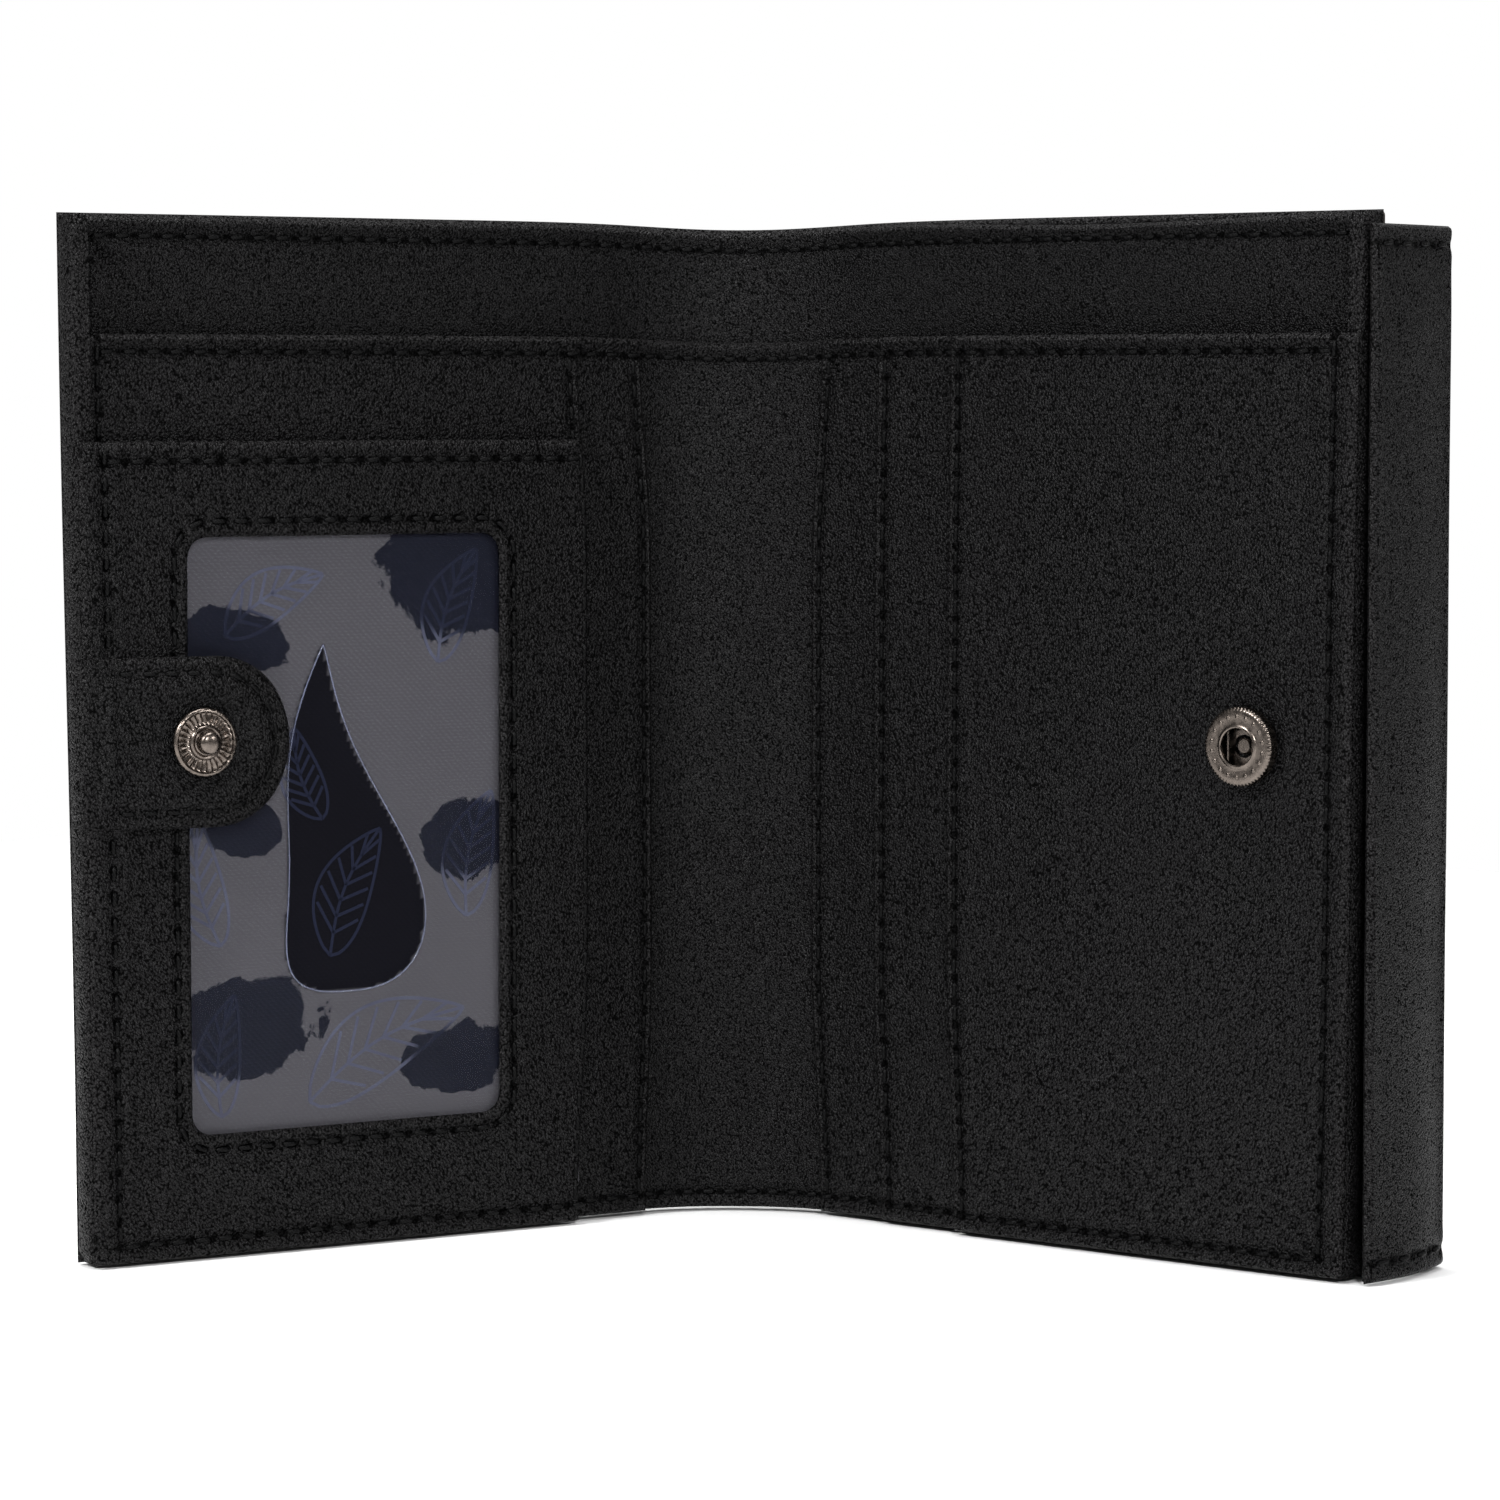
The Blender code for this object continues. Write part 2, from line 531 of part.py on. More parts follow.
def build_slider(body, middle):
    """The zip's slider: two plates with lips, a bridge between the rows, a bail on top."""
    carrier = frame_empty("zip_slider", body, (SLIDER_AT, middle, 0.0))
    half, lip, bridge = SLIDER_WIDTH / 2, SLIDER_LIP, BRIDGE_HALF
    top = (ZIP_TEETH_Z[1] + SLIDER_AIR, ZIP_TEETH_Z[1] + SLIDER_AIR + SLIDER_PLATE_T)
    low = (ZIP_TEETH_Z[0] - SLIDER_AIR - SLIDER_PLATE_T, ZIP_TEETH_Z[0] - SLIDER_AIR)
    lips = (ZIP_TAPE_Z[0] - SLIDER_AIR, ZIP_TAPE_Z[1] + SLIDER_AIR)
    right = [
        (bridge, low[1]), (half - lip, low[1]), (half - lip, lips[0]), (half, lips[0]), (half, low[0]),
    ]
    left = [(-y, z) for y, z in right[::-1]]
    upper = [
        (-bridge, top[0]), (-half + lip, top[0]), (-half + lip, lips[1]), (-half, lips[1]), (-half, top[1]),
    ]
    over = [(-y, z) for y, z in upper[::-1]]
    outline = [Vector(point) for point in left + upper + over + right]
    outline.reverse()
    slider = flat_curve("slider_body", [outline], SLIDER_LENGTH)
    slider.rotation_euler = (math.pi / 2, 0.0, math.pi / 2)
    bail_half, bail_high, bail_t = BAIL[0], top[1] + BAIL[1], BAIL[2]
    inner = bail_half - BAIL_WIRE
    arch = rectangle(-bail_half, bail_half, top[1] - CHAMFER, bail_high, 0.75 * BAIL_WIRE)
    hole = rectangle(-inner, inner, top[1] + CHAMFER, bail_high - 0.75 * BAIL_WIRE, 0.3 * MM)
    bail = flat_curve("slider_bail", [arch, hole], bail_t)
    bail.rotation_euler = (math.pi / 2, 0.0, 0.0)
    for part in (slider, bail):
        PARTS.objects.link(part)
    bpy.context.view_layer.update()
    slider, bail = as_mesh(slider), as_mesh(bail)
    slider.name, bail.name = "slider_body", "slider_bail"
    bail.parent = carrier
    union(slider, bail)
    adopt(slider, carrier, METAL)
    build_pull(carrier, top[1] + PULL_SLOT[1])


def build_pull(slider, axis_height):
    """The pull: a flat tongue with a slot for the bail, its end bar on the swing axis."""
    body = frame_empty("zip_pull", slider, (0.0, 0.0, axis_height))
    half = PULL_WIDTH / 2
    bar = PULL_T / 2
    sides = [(-bar, PULL_NECK_HALF, CHAMFER), (PULL_NECK[0], PULL_NECK_HALF, PULL_CORNER),
             (PULL_NECK[1], half, PULL_CORNER), (PULL_LENGTH, half, PULL_CORNER)]
    outline = rounded([(x, -y, r) for x, y, r in sides] + sides[::-1])
    slot = rectangle(bar, PULL_SLOT[0], -PULL_SLOT[1], PULL_SLOT[1])
    level("pull_tab", body, METAL, [outline, slot], (-PULL_T / 2, PULL_T / 2))


def build_wallet():
    """The whole wallet, each body on its own empty, centred over the origin."""
    fold = (math.pi - OPEN_ANGLE) / 2
    root = frame_empty("wallet", None)
    middle = frame_empty("middle_leaf", root)
    spine = frame_empty("main_spine", middle, (0.0, 0.0, 0.0), fold)
    cover = frame_empty("cover_leaf", spine, (-SPINE_WIDTH, 0.0, 0.0), fold)
    face = build_middle_leaf(middle) - GAP
    build_main_spine(spine)
    rivet = build_cover_leaf(cover)
    build_tab(cover, TAB_CREASE_FROM_EDGE, rivet)
    strip_t = WALL_T + GAP + LINING_T
    corner = (LEAF_LENGTH + HEM_DROP + strip_t, -face, 0.0)
    strip = frame_empty("coin_spine", middle, corner, math.pi / 2)
    coin = frame_empty("coin_leaf", strip, (COIN_SPINE_WIDTH, 0.0, 0.0), math.pi / 2)
    build_coin_spine(strip)
    build_coin_leaf(coin)
    centre(root)


def centre(root):
    """Move the root so that the middle of the parts' box stands over the origin."""
    bpy.context.view_layer.update()
    graph = bpy.context.evaluated_depsgraph_get()
    places = []
    for obj in PARTS.objects:
        if obj.type == "EMPTY":
            continue
        final = obj.evaluated_get(graph)
        mesh = final.to_mesh()
        places += [final.matrix_world @ vertex.co for vertex in mesh.vertices]
        final.to_mesh_clear()
    for axis in (0, 1):
        values = [place[axis] for place in places]
        root.location[axis] = -(min(values) + max(values)) / 2


clear_scene()
PARTS = collection(COLLECTION)
CUTTERS = collection("cutters")
LEATHER = material("pebbled_leather", (0.012, 0.011, 0.012), 0.5)
LINING = material("lining_leather", (0.014, 0.013, 0.014), 0.45)
FABRIC = material("woven_fabric", (0.02, 0.02, 0.024), 0.85)
PRINTED = material("printed_fabric", (0.1, 0.1, 0.13), 0.7)
VINYL = material("clear_vinyl", (0.8, 0.82, 0.85), 0.1, 0.0, 0.25)
METAL = material("gunmetal", (0.3, 0.27, 0.25), 0.3, 1.0)
build_wallet()
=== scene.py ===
"""The looks of a trifold wallet: leather sheets, stitching, snap, window and zip."""

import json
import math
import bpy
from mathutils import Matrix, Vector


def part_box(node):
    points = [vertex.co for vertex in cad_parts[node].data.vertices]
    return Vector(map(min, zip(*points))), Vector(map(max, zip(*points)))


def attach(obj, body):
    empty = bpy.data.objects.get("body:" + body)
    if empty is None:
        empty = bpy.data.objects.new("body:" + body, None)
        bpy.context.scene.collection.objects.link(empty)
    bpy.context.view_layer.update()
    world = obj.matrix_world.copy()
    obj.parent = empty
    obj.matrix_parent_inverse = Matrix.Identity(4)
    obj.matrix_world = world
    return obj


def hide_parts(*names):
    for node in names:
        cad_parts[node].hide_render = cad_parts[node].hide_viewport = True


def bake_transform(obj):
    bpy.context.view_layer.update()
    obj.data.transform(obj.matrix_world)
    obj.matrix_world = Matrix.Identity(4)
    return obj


bl_info = {
    "name": "Trifold Wallet",
    "version": (1, 0, 0),
    "blender": (4, 5, 0),
    "location": "View3D > Sidebar > Wallet",
    "description": "Builds the leather, stitching, snap, window and zip of a trifold wallet",
    "category": "Object",
}

import bmesh
import bpy
import numpy as np
from bpy.props import FloatProperty, FloatVectorProperty, PointerProperty, StringProperty
from mathutils import Vector

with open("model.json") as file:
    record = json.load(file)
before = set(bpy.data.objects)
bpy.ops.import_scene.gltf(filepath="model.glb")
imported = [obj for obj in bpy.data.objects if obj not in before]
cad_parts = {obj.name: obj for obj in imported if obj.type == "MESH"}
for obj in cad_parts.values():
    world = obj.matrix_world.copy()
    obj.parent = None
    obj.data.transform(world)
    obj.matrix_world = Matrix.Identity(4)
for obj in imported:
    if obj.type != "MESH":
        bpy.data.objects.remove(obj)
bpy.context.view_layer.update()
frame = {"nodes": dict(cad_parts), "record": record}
JOINTS = {joint["name"]: joint for joint in frame["record"]["behaviour"]["joints"]}

MM = 0.001

# ---- places taken from the frame --------------------------------------------------
FOLD = math.radians(JOINTS["spine_fold"]["range_deg"][1])
MIDDLE_HINGE = np.array(JOINTS["spine_fold"]["pos_m"][:2])
COVER_HINGE = np.array(JOINTS["cover_fold"]["pos_m"][:2])
STRIP_HINGE = np.array(JOINTS["coin_spine_fold"]["pos_m"][:2])
COIN_HINGE = np.array(JOINTS["coin_fold"]["pos_m"][:2])
SPINE = float(np.linalg.norm(MIDDLE_HINGE - COVER_HINGE))
LEAF = float(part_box("middle_outer_panel")[1][0]) - float(MIDDLE_HINGE[0])
HEIGHT = float(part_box("middle_outer_panel")[1][2])
STRIP = float(np.linalg.norm(COIN_HINGE - STRIP_HINGE))
STRIP_TOP = float(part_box("coin_strip_outer")[1][2])
COIN_TOP = float(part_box("coin_back_wall")[1][2])
BILL_TOP = float(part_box("middle_bill_wall")[1][2])
ID_TOP = float(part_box("id_pocket_front")[1][2])
SOCKET = (np.array(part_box("socket_body")[0]) + np.array(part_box("socket_body")[1])) / 2
SNAP_Z = float(SOCKET[2])
COIN_END = float(COIN_HINGE[0]) - float(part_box("coin_back_wall")[0][0])
COIN_DEPTH = float(COIN_HINGE[1]) - float(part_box("coin_front_wall")[0][1])

# ---- the stage: metres and watts, placed from the spine's foot ---------------------
FLOOR_SIZE = 1.0  # small, so that its far edge hides against the white behind the wallet
VIEW_TURN = math.radians(38.5)
VIEW_DOWN = math.radians(4.04)
VIEW_ACROSS, VIEW_BACK, VIEW_UP = 0.0010, 0.6572, 0.1058
LENS = 122.4  # mm
SOFTBOXES = (  # name, then across, away, up, size and power
    ("key_softbox", -0.5, -0.45, 0.55, 0.16, 5.0), ("fill_softbox", 0.75, -0.5, 0.45, 0.16, 2.0),
    ("front_softbox", 0.15, -0.85, 0.5, 0.14, 4.0), ("top_softbox", 0.0, 0.05, 1.2, 0.6, 15.0),
    ("rim_softbox", 0.75, 0.35, 0.5, 0.3, 0.5),
)

# ---- how much the finishes shine --------------------------------------------------
CLOTH_SHINE = 0.06  # specular level of matte yarn and ink
LEATHER_SHINE = 0.27  # specular level on a pebble's crown; it falls to nothing in the valleys

# ---- places worked out from the frame ---------------------------------------------
BEND = 8.0 * MM  # half the length of leather that bends at a fold line
SPINE_MIDDLE = Vector((*((MIDDLE_HINGE + COVER_HINGE) / 2), 0.0))
SPLIT = -SPINE / 2  # where the two halves of the spine's leather meet
FREE_COVER = -(SPINE + LEAF)  # the cover's free edge along the open wallet
TAPER = 1.5 * MM  # how much shorter a leaf is at its foot
HEM = 2.7 * MM  # seam to top edge
FOOT_SEAM = 2.3 * MM
EDGE_SEAM = 3.4 * MM
LIP_SEAM = 2.1 * MM
MOUTH_SEAM = 1.35 * MM
PITCH = 3.0 * MM  # one stitch and its gap
COARSE, FINE = 0.85 * MM, 0.28 * MM
WINDOW = (14.6 * MM, 57.2 * MM, 15.1 * MM, 88.0 * MM)  # from the free edge, then heights
WINDOW_CENTRE = (WINDOW[0] + WINDOW[1]) / 2 + FREE_COVER, (WINDOW[2] + WINDOW[3]) / 2
WINDOW_RADIUS = 2.6 * MM
STUD_FROM_EDGE = 15.45 * MM
TAB = (-0.4 * MM, 26.4 * MM, 10.4 * MM)  # root and tip from the free edge, half height
TAB_FACE = 7.8 * MM  # depth of the tab's face above the cover's outer leather
TAB_DROOP = 1.7 * MM  # how far its sewn root is pressed down

DEPTH = {
    "skin": (0.0, 0.95 * MM), "lining": (1.2 * MM, 1.75 * MM), "wall": (1.9 * MM, 2.5 * MM),
    "back": (2.7 * MM, 3.25 * MM), "middle": (3.4 * MM, 3.95 * MM), "front": (4.6 * MM, 5.25 * MM),
    "print": (4.1 * MM, 4.3 * MM), "film": (4.6 * MM, 4.8 * MM), "id": (4.85 * MM, 5.65 * MM),
}


# ---- settings ---------------------------------------------------------------------
class WalletSettings(bpy.types.PropertyGroup):
    """Sizes and colours that a user would change."""

    grain: FloatProperty(
        name="Leather grain", description="Width of one pebble of the embossed grain",
        default=0.29 * MM, unit="LENGTH", precision=5)
    thread: FloatProperty(
        name="Thread", description="Diameter of the sewing thread", default=0.62 * MM, unit="LENGTH",
        precision=5)
    sway: FloatProperty(
        name="Softness", description="How far the leather waves out of flat", default=0.35 * MM,
        unit="LENGTH", precision=5)
    leather: StringProperty(name="Leather", description="sRGB hex colour of the leather",
                            default="0a090b")
    worn: StringProperty(name="Worn edge", description="sRGB hex colour of rubbed edges",
                         default="1d1b1c")
    metal: StringProperty(name="Metal", description="sRGB hex colour of the plated hardware",
                          default="857b73")
    cloth: StringProperty(name="Cloth", description="sRGB hex colour of the printed cloth", default="4f4e53")
    patches: StringProperty(name="Patches", description="sRGB hex colour of its patches", default="141622")
    paper: FloatVectorProperty(
        name="Floor", description="Colour of the floor", subtype="COLOR", size=3, default=(0.93, 0.93, 0.93))


def settings():
    """The settings of this scene."""
    return bpy.context.scene.wallet


# ---- the wallet's surface ------------------------------------------------------------
def smooth(low, high, x):
    """Smoothstep: 3t^2 - 2t^3 of x between low and high."""
    t = np.clip((x - low) / (high - low), 0, 1)
    return t * t * (3 - 2 * t)


def turned_point(origin, angle, x, y):
    """Point (x, y) of a flat frame, turned by an angle about Z and moved to its origin."""
    return origin[0] + x * math.cos(angle) - y * math.sin(angle), \
        origin[1] + x * math.sin(angle) + y * math.cos(angle)


def bend_path(origin, angle, turn, x, half):
    """A line that turns on a fold: straight at both sides, a quadratic curve between.

    Before -half it runs at angle + turn, past half at angle; between them the point is
    (1-t)^2 P0 + 2t(1-t) H + t^2 P1, with t growing from 0 to 1 and H the fold line.
    Returns the point and the running direction.
    """
    late = np.array([math.cos(angle), math.sin(angle)])
    early = np.array([math.cos(angle + turn), math.sin(angle + turn)])
    t = np.clip((x + half) / (2 * half), 0, 1)[..., None]
    inside = origin - (1 - t) ** 2 * half * early + t**2 * half * late
    over = np.maximum(x - half, 0)[..., None] * late + np.minimum(x + half, 0)[..., None] * early
    along = (1 - t) * early + t * late
    return inside + over, along / np.linalg.norm(along, axis=-1, keepdims=True)


def sway(s, z):
    """Slow waves of soft leather: a few sines along the wallet and up it, in metres."""
    size = settings().sway
    wave = np.sin(s / 0.0181 + 1.3) * np.sin(z / 0.0262 + 0.4)
    wave = wave + 0.6 * np.sin(s / 0.0113 + z / 0.0171 + 2.1)
    pinch = np.exp(-((s + SPINE / 2) / 0.0075) ** 2) * np.sin(np.pi * np.clip(z / HEIGHT, 0, 1)) ** 2
    return size * (0.5 * wave * smooth(0.002, 0.02, z)) + 0.0012 * pinch


def on_wallet(s, z, depth):
    """Point of the open wallet: s along it, height z, depth from the outer leather inwards.

    The path runs straight along the middle leaf, turns at both fold lines of the spine and
    runs on along the cover; depth is measured square to it.
    """
    s, z, depth = np.broadcast_arrays(*(np.asarray(v, float) for v in (s, z, depth)))
    a, along_a = bend_path(MIDDLE_HINGE, 0.0, FOLD, s, BEND)
    b, along_b = bend_path(COVER_HINGE, FOLD, FOLD, s + SPINE, BEND)
    first = (s > SPLIT)[..., None]
    point, along = np.where(first, a, b), np.where(first, along_a, along_b)
    depth = depth + sway(s, z)
    dip = 0.0008 * np.exp(-((s + SPINE / 2) / 0.016) ** 2) * np.clip(z / HEIGHT, 0, 1)
    x = point[..., 0] + depth * along[..., 1]
    y = point[..., 1] - depth * along[..., 0]
    return np.stack([x, y, z - dip], axis=-1)


def on_strip(x, z, depth):
    """Point of the coin strip: it bulges a little below its hem, as a stuffed side does."""
    x, z, depth = np.broadcast_arrays(*(np.asarray(v, float) for v in (x, z, depth)))
    bulge = 0.0011 * np.sin(np.pi * np.clip(x / STRIP, 0, 1)) * smooth(STRIP_TOP, STRIP_TOP - 0.012, z)
    wave = 0.0002 * np.sin(z / 0.009 + 0.7) * np.sin(np.pi * np.clip(x / STRIP, 0, 1))
    px, py = turned_point(STRIP_HINGE, math.pi / 2, x, -(depth * -1.0 + bulge + wave))
    return np.stack([px, py, z], axis=-1)


def on_coin(x, z, depth):
    """Point of the coin leaf: x from its fold line, depth from its outer wall inwards."""
    x, z, depth = np.broadcast_arrays(*(np.asarray(v, float) for v in (x, z, depth)))
    crown = np.sin(np.pi * np.clip(x / COIN_END, 0, 1)) * np.sin(np.pi * np.clip(z / COIN_TOP, 0, 1))
    puff = 0.0013 * np.sqrt(np.clip(crown, 0, 1)) * (1 - 2 * depth / COIN_DEPTH)
    puff = np.where(depth > COIN_DEPTH / 2, puff * 0.35, puff)
    wave = 0.00022 * np.sin(x / 0.012) * np.sin(z / 0.016 + 1.0)
    px, py = turned_point(COIN_HINGE, math.pi, x, depth - puff + wave * crown)
    return np.stack([px, py, z], axis=-1)


# ---- edges of leaves and pockets -------------------------------------------------------
def taper(z):
    """A leaf's free edge leans in towards its foot."""
    return TAPER * (1 - np.clip(z / HEIGHT, 0, 1))


def cover_edge(z, inset=0.0):
    """The cover's free edge."""
    return FREE_COVER + inset + taper(z)


def middle_edge(z, inset=0.0):
    """The middle leaf's free edge."""
    return LEAF - inset - taper(z)


def bowed(base, at_top, at_foot):
    """A pocket mouth that bows: straight at mid height, further out at its ends."""
    def edge(z):
        """Place along the wallet at a height."""
        return base + at_top * smooth(0.085, 0.1125, z) + at_foot * smooth(0.035, 0.0, z)
    return edge


MOUTHS = {
    "c": bowed(2.6 * MM, 1.6 * MM, 1.6 * MM),
    "d": bowed(13.6 * MM, 0.3 * MM, 1.3 * MM),
    "e": bowed(26.0 * MM, 0.2 * MM, 1.3 * MM),
    "b": bowed(-SPINE - 5.2 * MM, -1.8 * MM, -1.1 * MM),
    "a": bowed(-SPINE - 15.4 * MM, -1.2 * MM, -1.6 * MM),
}


def shifted(edge, by):
    """An edge moved along the wallet."""
    return lambda z: edge(z) + by


def constant(value):
    """A straight edge or seam: upright at one place, or level at one height."""
    return lambda along: value + 0.0 * along


def inset_from(edge, inset):
    """A free edge of the wallet moved inwards."""
    return lambda z: edge(z, inset)


def surface(s, z):
    """Depth of the topmost sheet at a place: the deepest layer that reaches it."""
    top = np.full(np.broadcast(s, z).shape, DEPTH["lining"][1])
    bill = z < BILL_TOP
    top = np.where(bill, DEPTH["wall"][1], top)
    top = np.where(bill & (s > MOUTHS["c"](z)), DEPTH["back"][1], top)
    top = np.where(bill & (s > MOUTHS["d"](z)), DEPTH["middle"][1], top)
    top = np.where(bill & (s > MOUTHS["e"](z)), DEPTH["front"][1], top)
    top = np.where(bill & (s < MOUTHS["b"](z)), DEPTH["back"][1], top)
    top = np.where(bill & (s < MOUTHS["a"](z)), DEPTH["middle"][1], top)
    return np.where((z < ID_TOP) & (s < MOUTHS["a"](z) - 0.6 * MM), DEPTH["id"][1], top)


# ---- meshes ------------------------------------------------------------------------------
def spread(length, marks, coarse=COARSE, fine=FINE, reach=1.3 * MM):
    """Places from 0 to 1 along a length, close together near the marks.

    Their density is 1/coarse plus a bell curve of height 1/fine at each mark.
    """
    fine_line = np.linspace(0, length, 3000)
    density = np.full(fine_line.shape, 1 / coarse)
    for mark in marks:
        density = np.maximum(density, (1 / fine) * np.exp(-(((fine_line - mark) / reach) ** 2)))
    total = np.concatenate([[0], np.cumsum((density[1:] + density[:-1]) / 2 * np.diff(fine_line))])
    count = int(math.ceil(total[-1])) + 1
    return np.interp(np.linspace(0, total[-1], count), total, fine_line) / length


def build(name, points, faces, finish, slot, weld=True, sharp=40.0, **attributes):
    """A smooth-shaded mesh object from an array of points and one of quads."""
    mesh = bpy.data.meshes.new(name)
    mesh.vertices.add(len(points))
    mesh.vertices.foreach_set("co", np.ascontiguousarray(points, np.float32).ravel())
    mesh.loops.add(faces.size)
    mesh.loops.foreach_set("vertex_index", np.ascontiguousarray(faces, np.int32).ravel())
    mesh.polygons.add(len(faces))
    mesh.polygons.foreach_set("loop_start", np.arange(0, faces.size, faces.shape[1], dtype=np.int32))
    mesh.update(calc_edges=True)
    for key, values in attributes.items():
        layer = mesh.attributes.new(key, "FLOAT", "POINT")
        layer.data.foreach_set("value", np.ascontiguousarray(values, np.float32).ravel())
    if weld:
        work = bmesh.new()
        work.from_mesh(mesh)
        bmesh.ops.remove_doubles(work, verts=work.verts, dist=1e-7)
        bmesh.ops.recalc_face_normals(work, faces=work.faces)
        work.to_mesh(mesh)
        work.free()
    mesh.validate()
    mesh.shade_smooth()
    mesh.set_sharp_from_angle(angle=math.radians(sharp))
    mesh.materials.append(finish)
    obj = bpy.data.objects.new(name, mesh)
    bpy.context.scene.collection.objects.link(obj)
    return obj


def grid_faces(rows, columns, first=0, close=False):
    """Quads of a grid of points, joined round its rows if close is set."""
    index = first + np.arange(rows * columns).reshape(rows, columns)
    if close:
        index = np.hstack([index, index[:, :1]])
    return np.stack([index[:-1, :-1], index[:-1, 1:], index[1:, 1:], index[1:, :-1]], -1).reshape(-1, 4)


def shell(name, front, back, finish, slot, close=False, edge=None, **more):
    """A closed sheet: a front grid, a back grid and the strips between their borders."""
    rows, columns = front.shape[:2]
    count = rows * columns
    index = np.arange(count).reshape(rows, columns)
    faces = [grid_faces(rows, columns, 0, close), grid_faces(rows, columns, count, close)[:, ::-1]]
    borders = [index[0], index[-1][::-1]]
    if close:
        borders = [np.append(line, line[0]) for line in (index[0], index[-1])]
        borders[1] = borders[1][::-1]
    else:
        borders += [index[:, 0][::-1], index[:, -1]]
    for line in borders:
        faces.append(np.stack([line[:-1], line[:-1] + count, line[1:] + count, line[1:]], -1))
    points = np.concatenate([front.reshape(-1, 3), back.reshape(-1, 3)])
    worn = np.zeros(front.shape[:2]) if edge is None else edge
    far = {"seam": np.full(worn.shape, 9.0), "stitch": np.zeros(worn.shape)}
    extra = {"edge": np.concatenate([worn.ravel(), worn.ravel()])}
    for key, values in {**far, **more}.items():
        extra[key] = np.concatenate([values.ravel(), values.ravel()])
    return build(name, points, np.concatenate(faces), finish, slot, **extra)


def puckers(s, z, seams):
    """Relief of seams: a groove along each, deepest at the needle holes, in metres.

    Each groove is -a exp(-(distance/w)^2) (0.6 + 0.4 cos(2 pi along/pitch)),
    and the leather beside it stands up as a pillow between the holes.
    """
    relief = np.zeros(np.broadcast(s, z).shape)
    for upright, line, low, high in seams:
        distance = s - line(z) if upright else z - line(s)
        along = z if upright else s
        inside = smooth(low - 0.5 * MM, low + 0.5 * MM, along)
        inside = inside * smooth(high + 0.5 * MM, high - 0.5 * MM, along)
        pitch = (high - low) / max(int((high - low) / PITCH), 1)
        holes = 0.6 + 0.4 * np.cos(2 * np.pi * (along - low) / pitch)
        relief = relief - 0.26 * MM * np.exp(-((distance / (0.55 * MM)) ** 2)) * holes * inside
        pillow = np.exp(-(((np.abs(distance) - 1.45 * MM) / (0.8 * MM)) ** 2)) * (1.3 - 0.5 * holes)
        relief = relief + 0.15 * MM * pillow * inside
    return relief


def seam_map(s, z, seams):
    """Distance to the nearest seam and place along it, counted in stitches."""
    near = np.full(np.broadcast(s, z).shape, 9 * MM)
    count = np.zeros(near.shape)
    for upright, line, low, high in seams:
        distance = (s - line(z)) if upright else (z - line(s))
        along = z if upright else s
        pitch = (high - low) / max(int((high - low) / PITCH), 1)
        over = np.maximum(np.maximum(low - along, along - high), 0)
        closer = np.hypot(distance, over) < np.abs(near)
        near = np.where(closer, np.where(over > 0, np.hypot(distance, over), distance), near)
        count = np.where(closer, (along - low) / pitch, count)
    return {"seam": near / MM, "stitch": count}


def sheet(name, place, start, end, heights, depth, finish, slot, seams=(), rolls="lrtb", roll=0.55 * MM,
          top=None, marks=()):
    """A leather sheet between two edges and two heights, its borders rolled over.

    Its thickness falls to nothing at a rolled border as sqrt(1 - (1 - e/roll)^2), with e
    the distance to that border, and its front carries the seams' relief.
    """
    low, high = heights
    middle = (low + high) / 2
    width = float(end(middle) - start(middle))
    s_marks = list(marks) + [m for flag, m in (("l", 0.0), ("r", width)) if flag in rolls]
    z_marks = [m for flag, m in (("b", 0.0), ("t", high - low)) if flag in rolls]
    for upright, line, *_ in seams:
        if upright:
            s_marks.append(float(line(middle) - start(middle)))
        else:
            z_marks.append(float(line(float(start(middle)) + width / 2)) - low)
    a, b = spread(width, s_marks), spread(high - low, z_marks)
    z = (low + b * (high - low))[:, None] * np.ones((1, len(a)))
    left, right = start(z), end(z)
    s = left + a[None, :] * (right - left)
    if top is not None:
        z = low + (z - low) * (top(s) - low) / (high - low)
    ceiling = high if top is None else top(s)
    distance = np.full(z.shape, 1.0)
    for flag, value in (("l", s - left), ("r", right - s), ("b", z - low), ("t", ceiling - z)):
        if flag in rolls:
            distance = np.minimum(distance, value)
    fall = np.sqrt(np.clip(1 - (1 - np.clip(distance / roll, 0, 1)) ** 2, 0, 1))
    centre, half = (depth[0] + depth[1]) / 2, (depth[1] - depth[0]) / 2
    relief = puckers(s, z, seams) * fall
    swell = 0.24 * MM * np.exp(-(((distance - 0.75 * MM) / (0.55 * MM)) ** 2))
    front = place(s, z, centre + half * fall + relief + swell * fall)
    back = place(s, z, centre - half * fall)
    worn = np.exp(-np.clip(distance, 0, 1) / (0.9 * MM))
    return shell(name, front, back, finish, slot, edge=worn, **seam_map(s, z, seams))


def rim(name, place, edge, side, heights, depth, finish, slot):
    """The turned border that closes a leaf's free edge: a half round run up the edge."""
    z = np.linspace(*heights, 190)[:, None]
    angle = np.linspace(-np.pi / 2, np.pi / 2, 15)[None, :]
    centre, half = (depth[0] + depth[1]) / 2, (depth[1] - depth[0]) / 2
    end = smooth(0, 1.2 * MM, z - heights[0]) * smooth(0, 1.2 * MM, heights[1] - z)
    ripple = 0.05 * MM * np.cos(2 * np.pi * z / (2.2 * MM)) * np.cos(angle) ** 2
    out = (0.1 * MM + 0.95 * MM * np.cos(angle) ** 0.8) * (0.35 + 0.65 * end) + ripple
    s = edge(z) - side * 0.9 * MM + side * out
    d = centre + half * np.sin(angle) * (0.75 + 0.25 * end)
    front = place(s, z + 0 * angle, d)
    back = place(edge(z) - side * 2.2 * MM + 0 * angle, z + 0 * angle, d)
    return shell(name, front, back, finish, slot, edge=np.full(s.shape, 0.7))


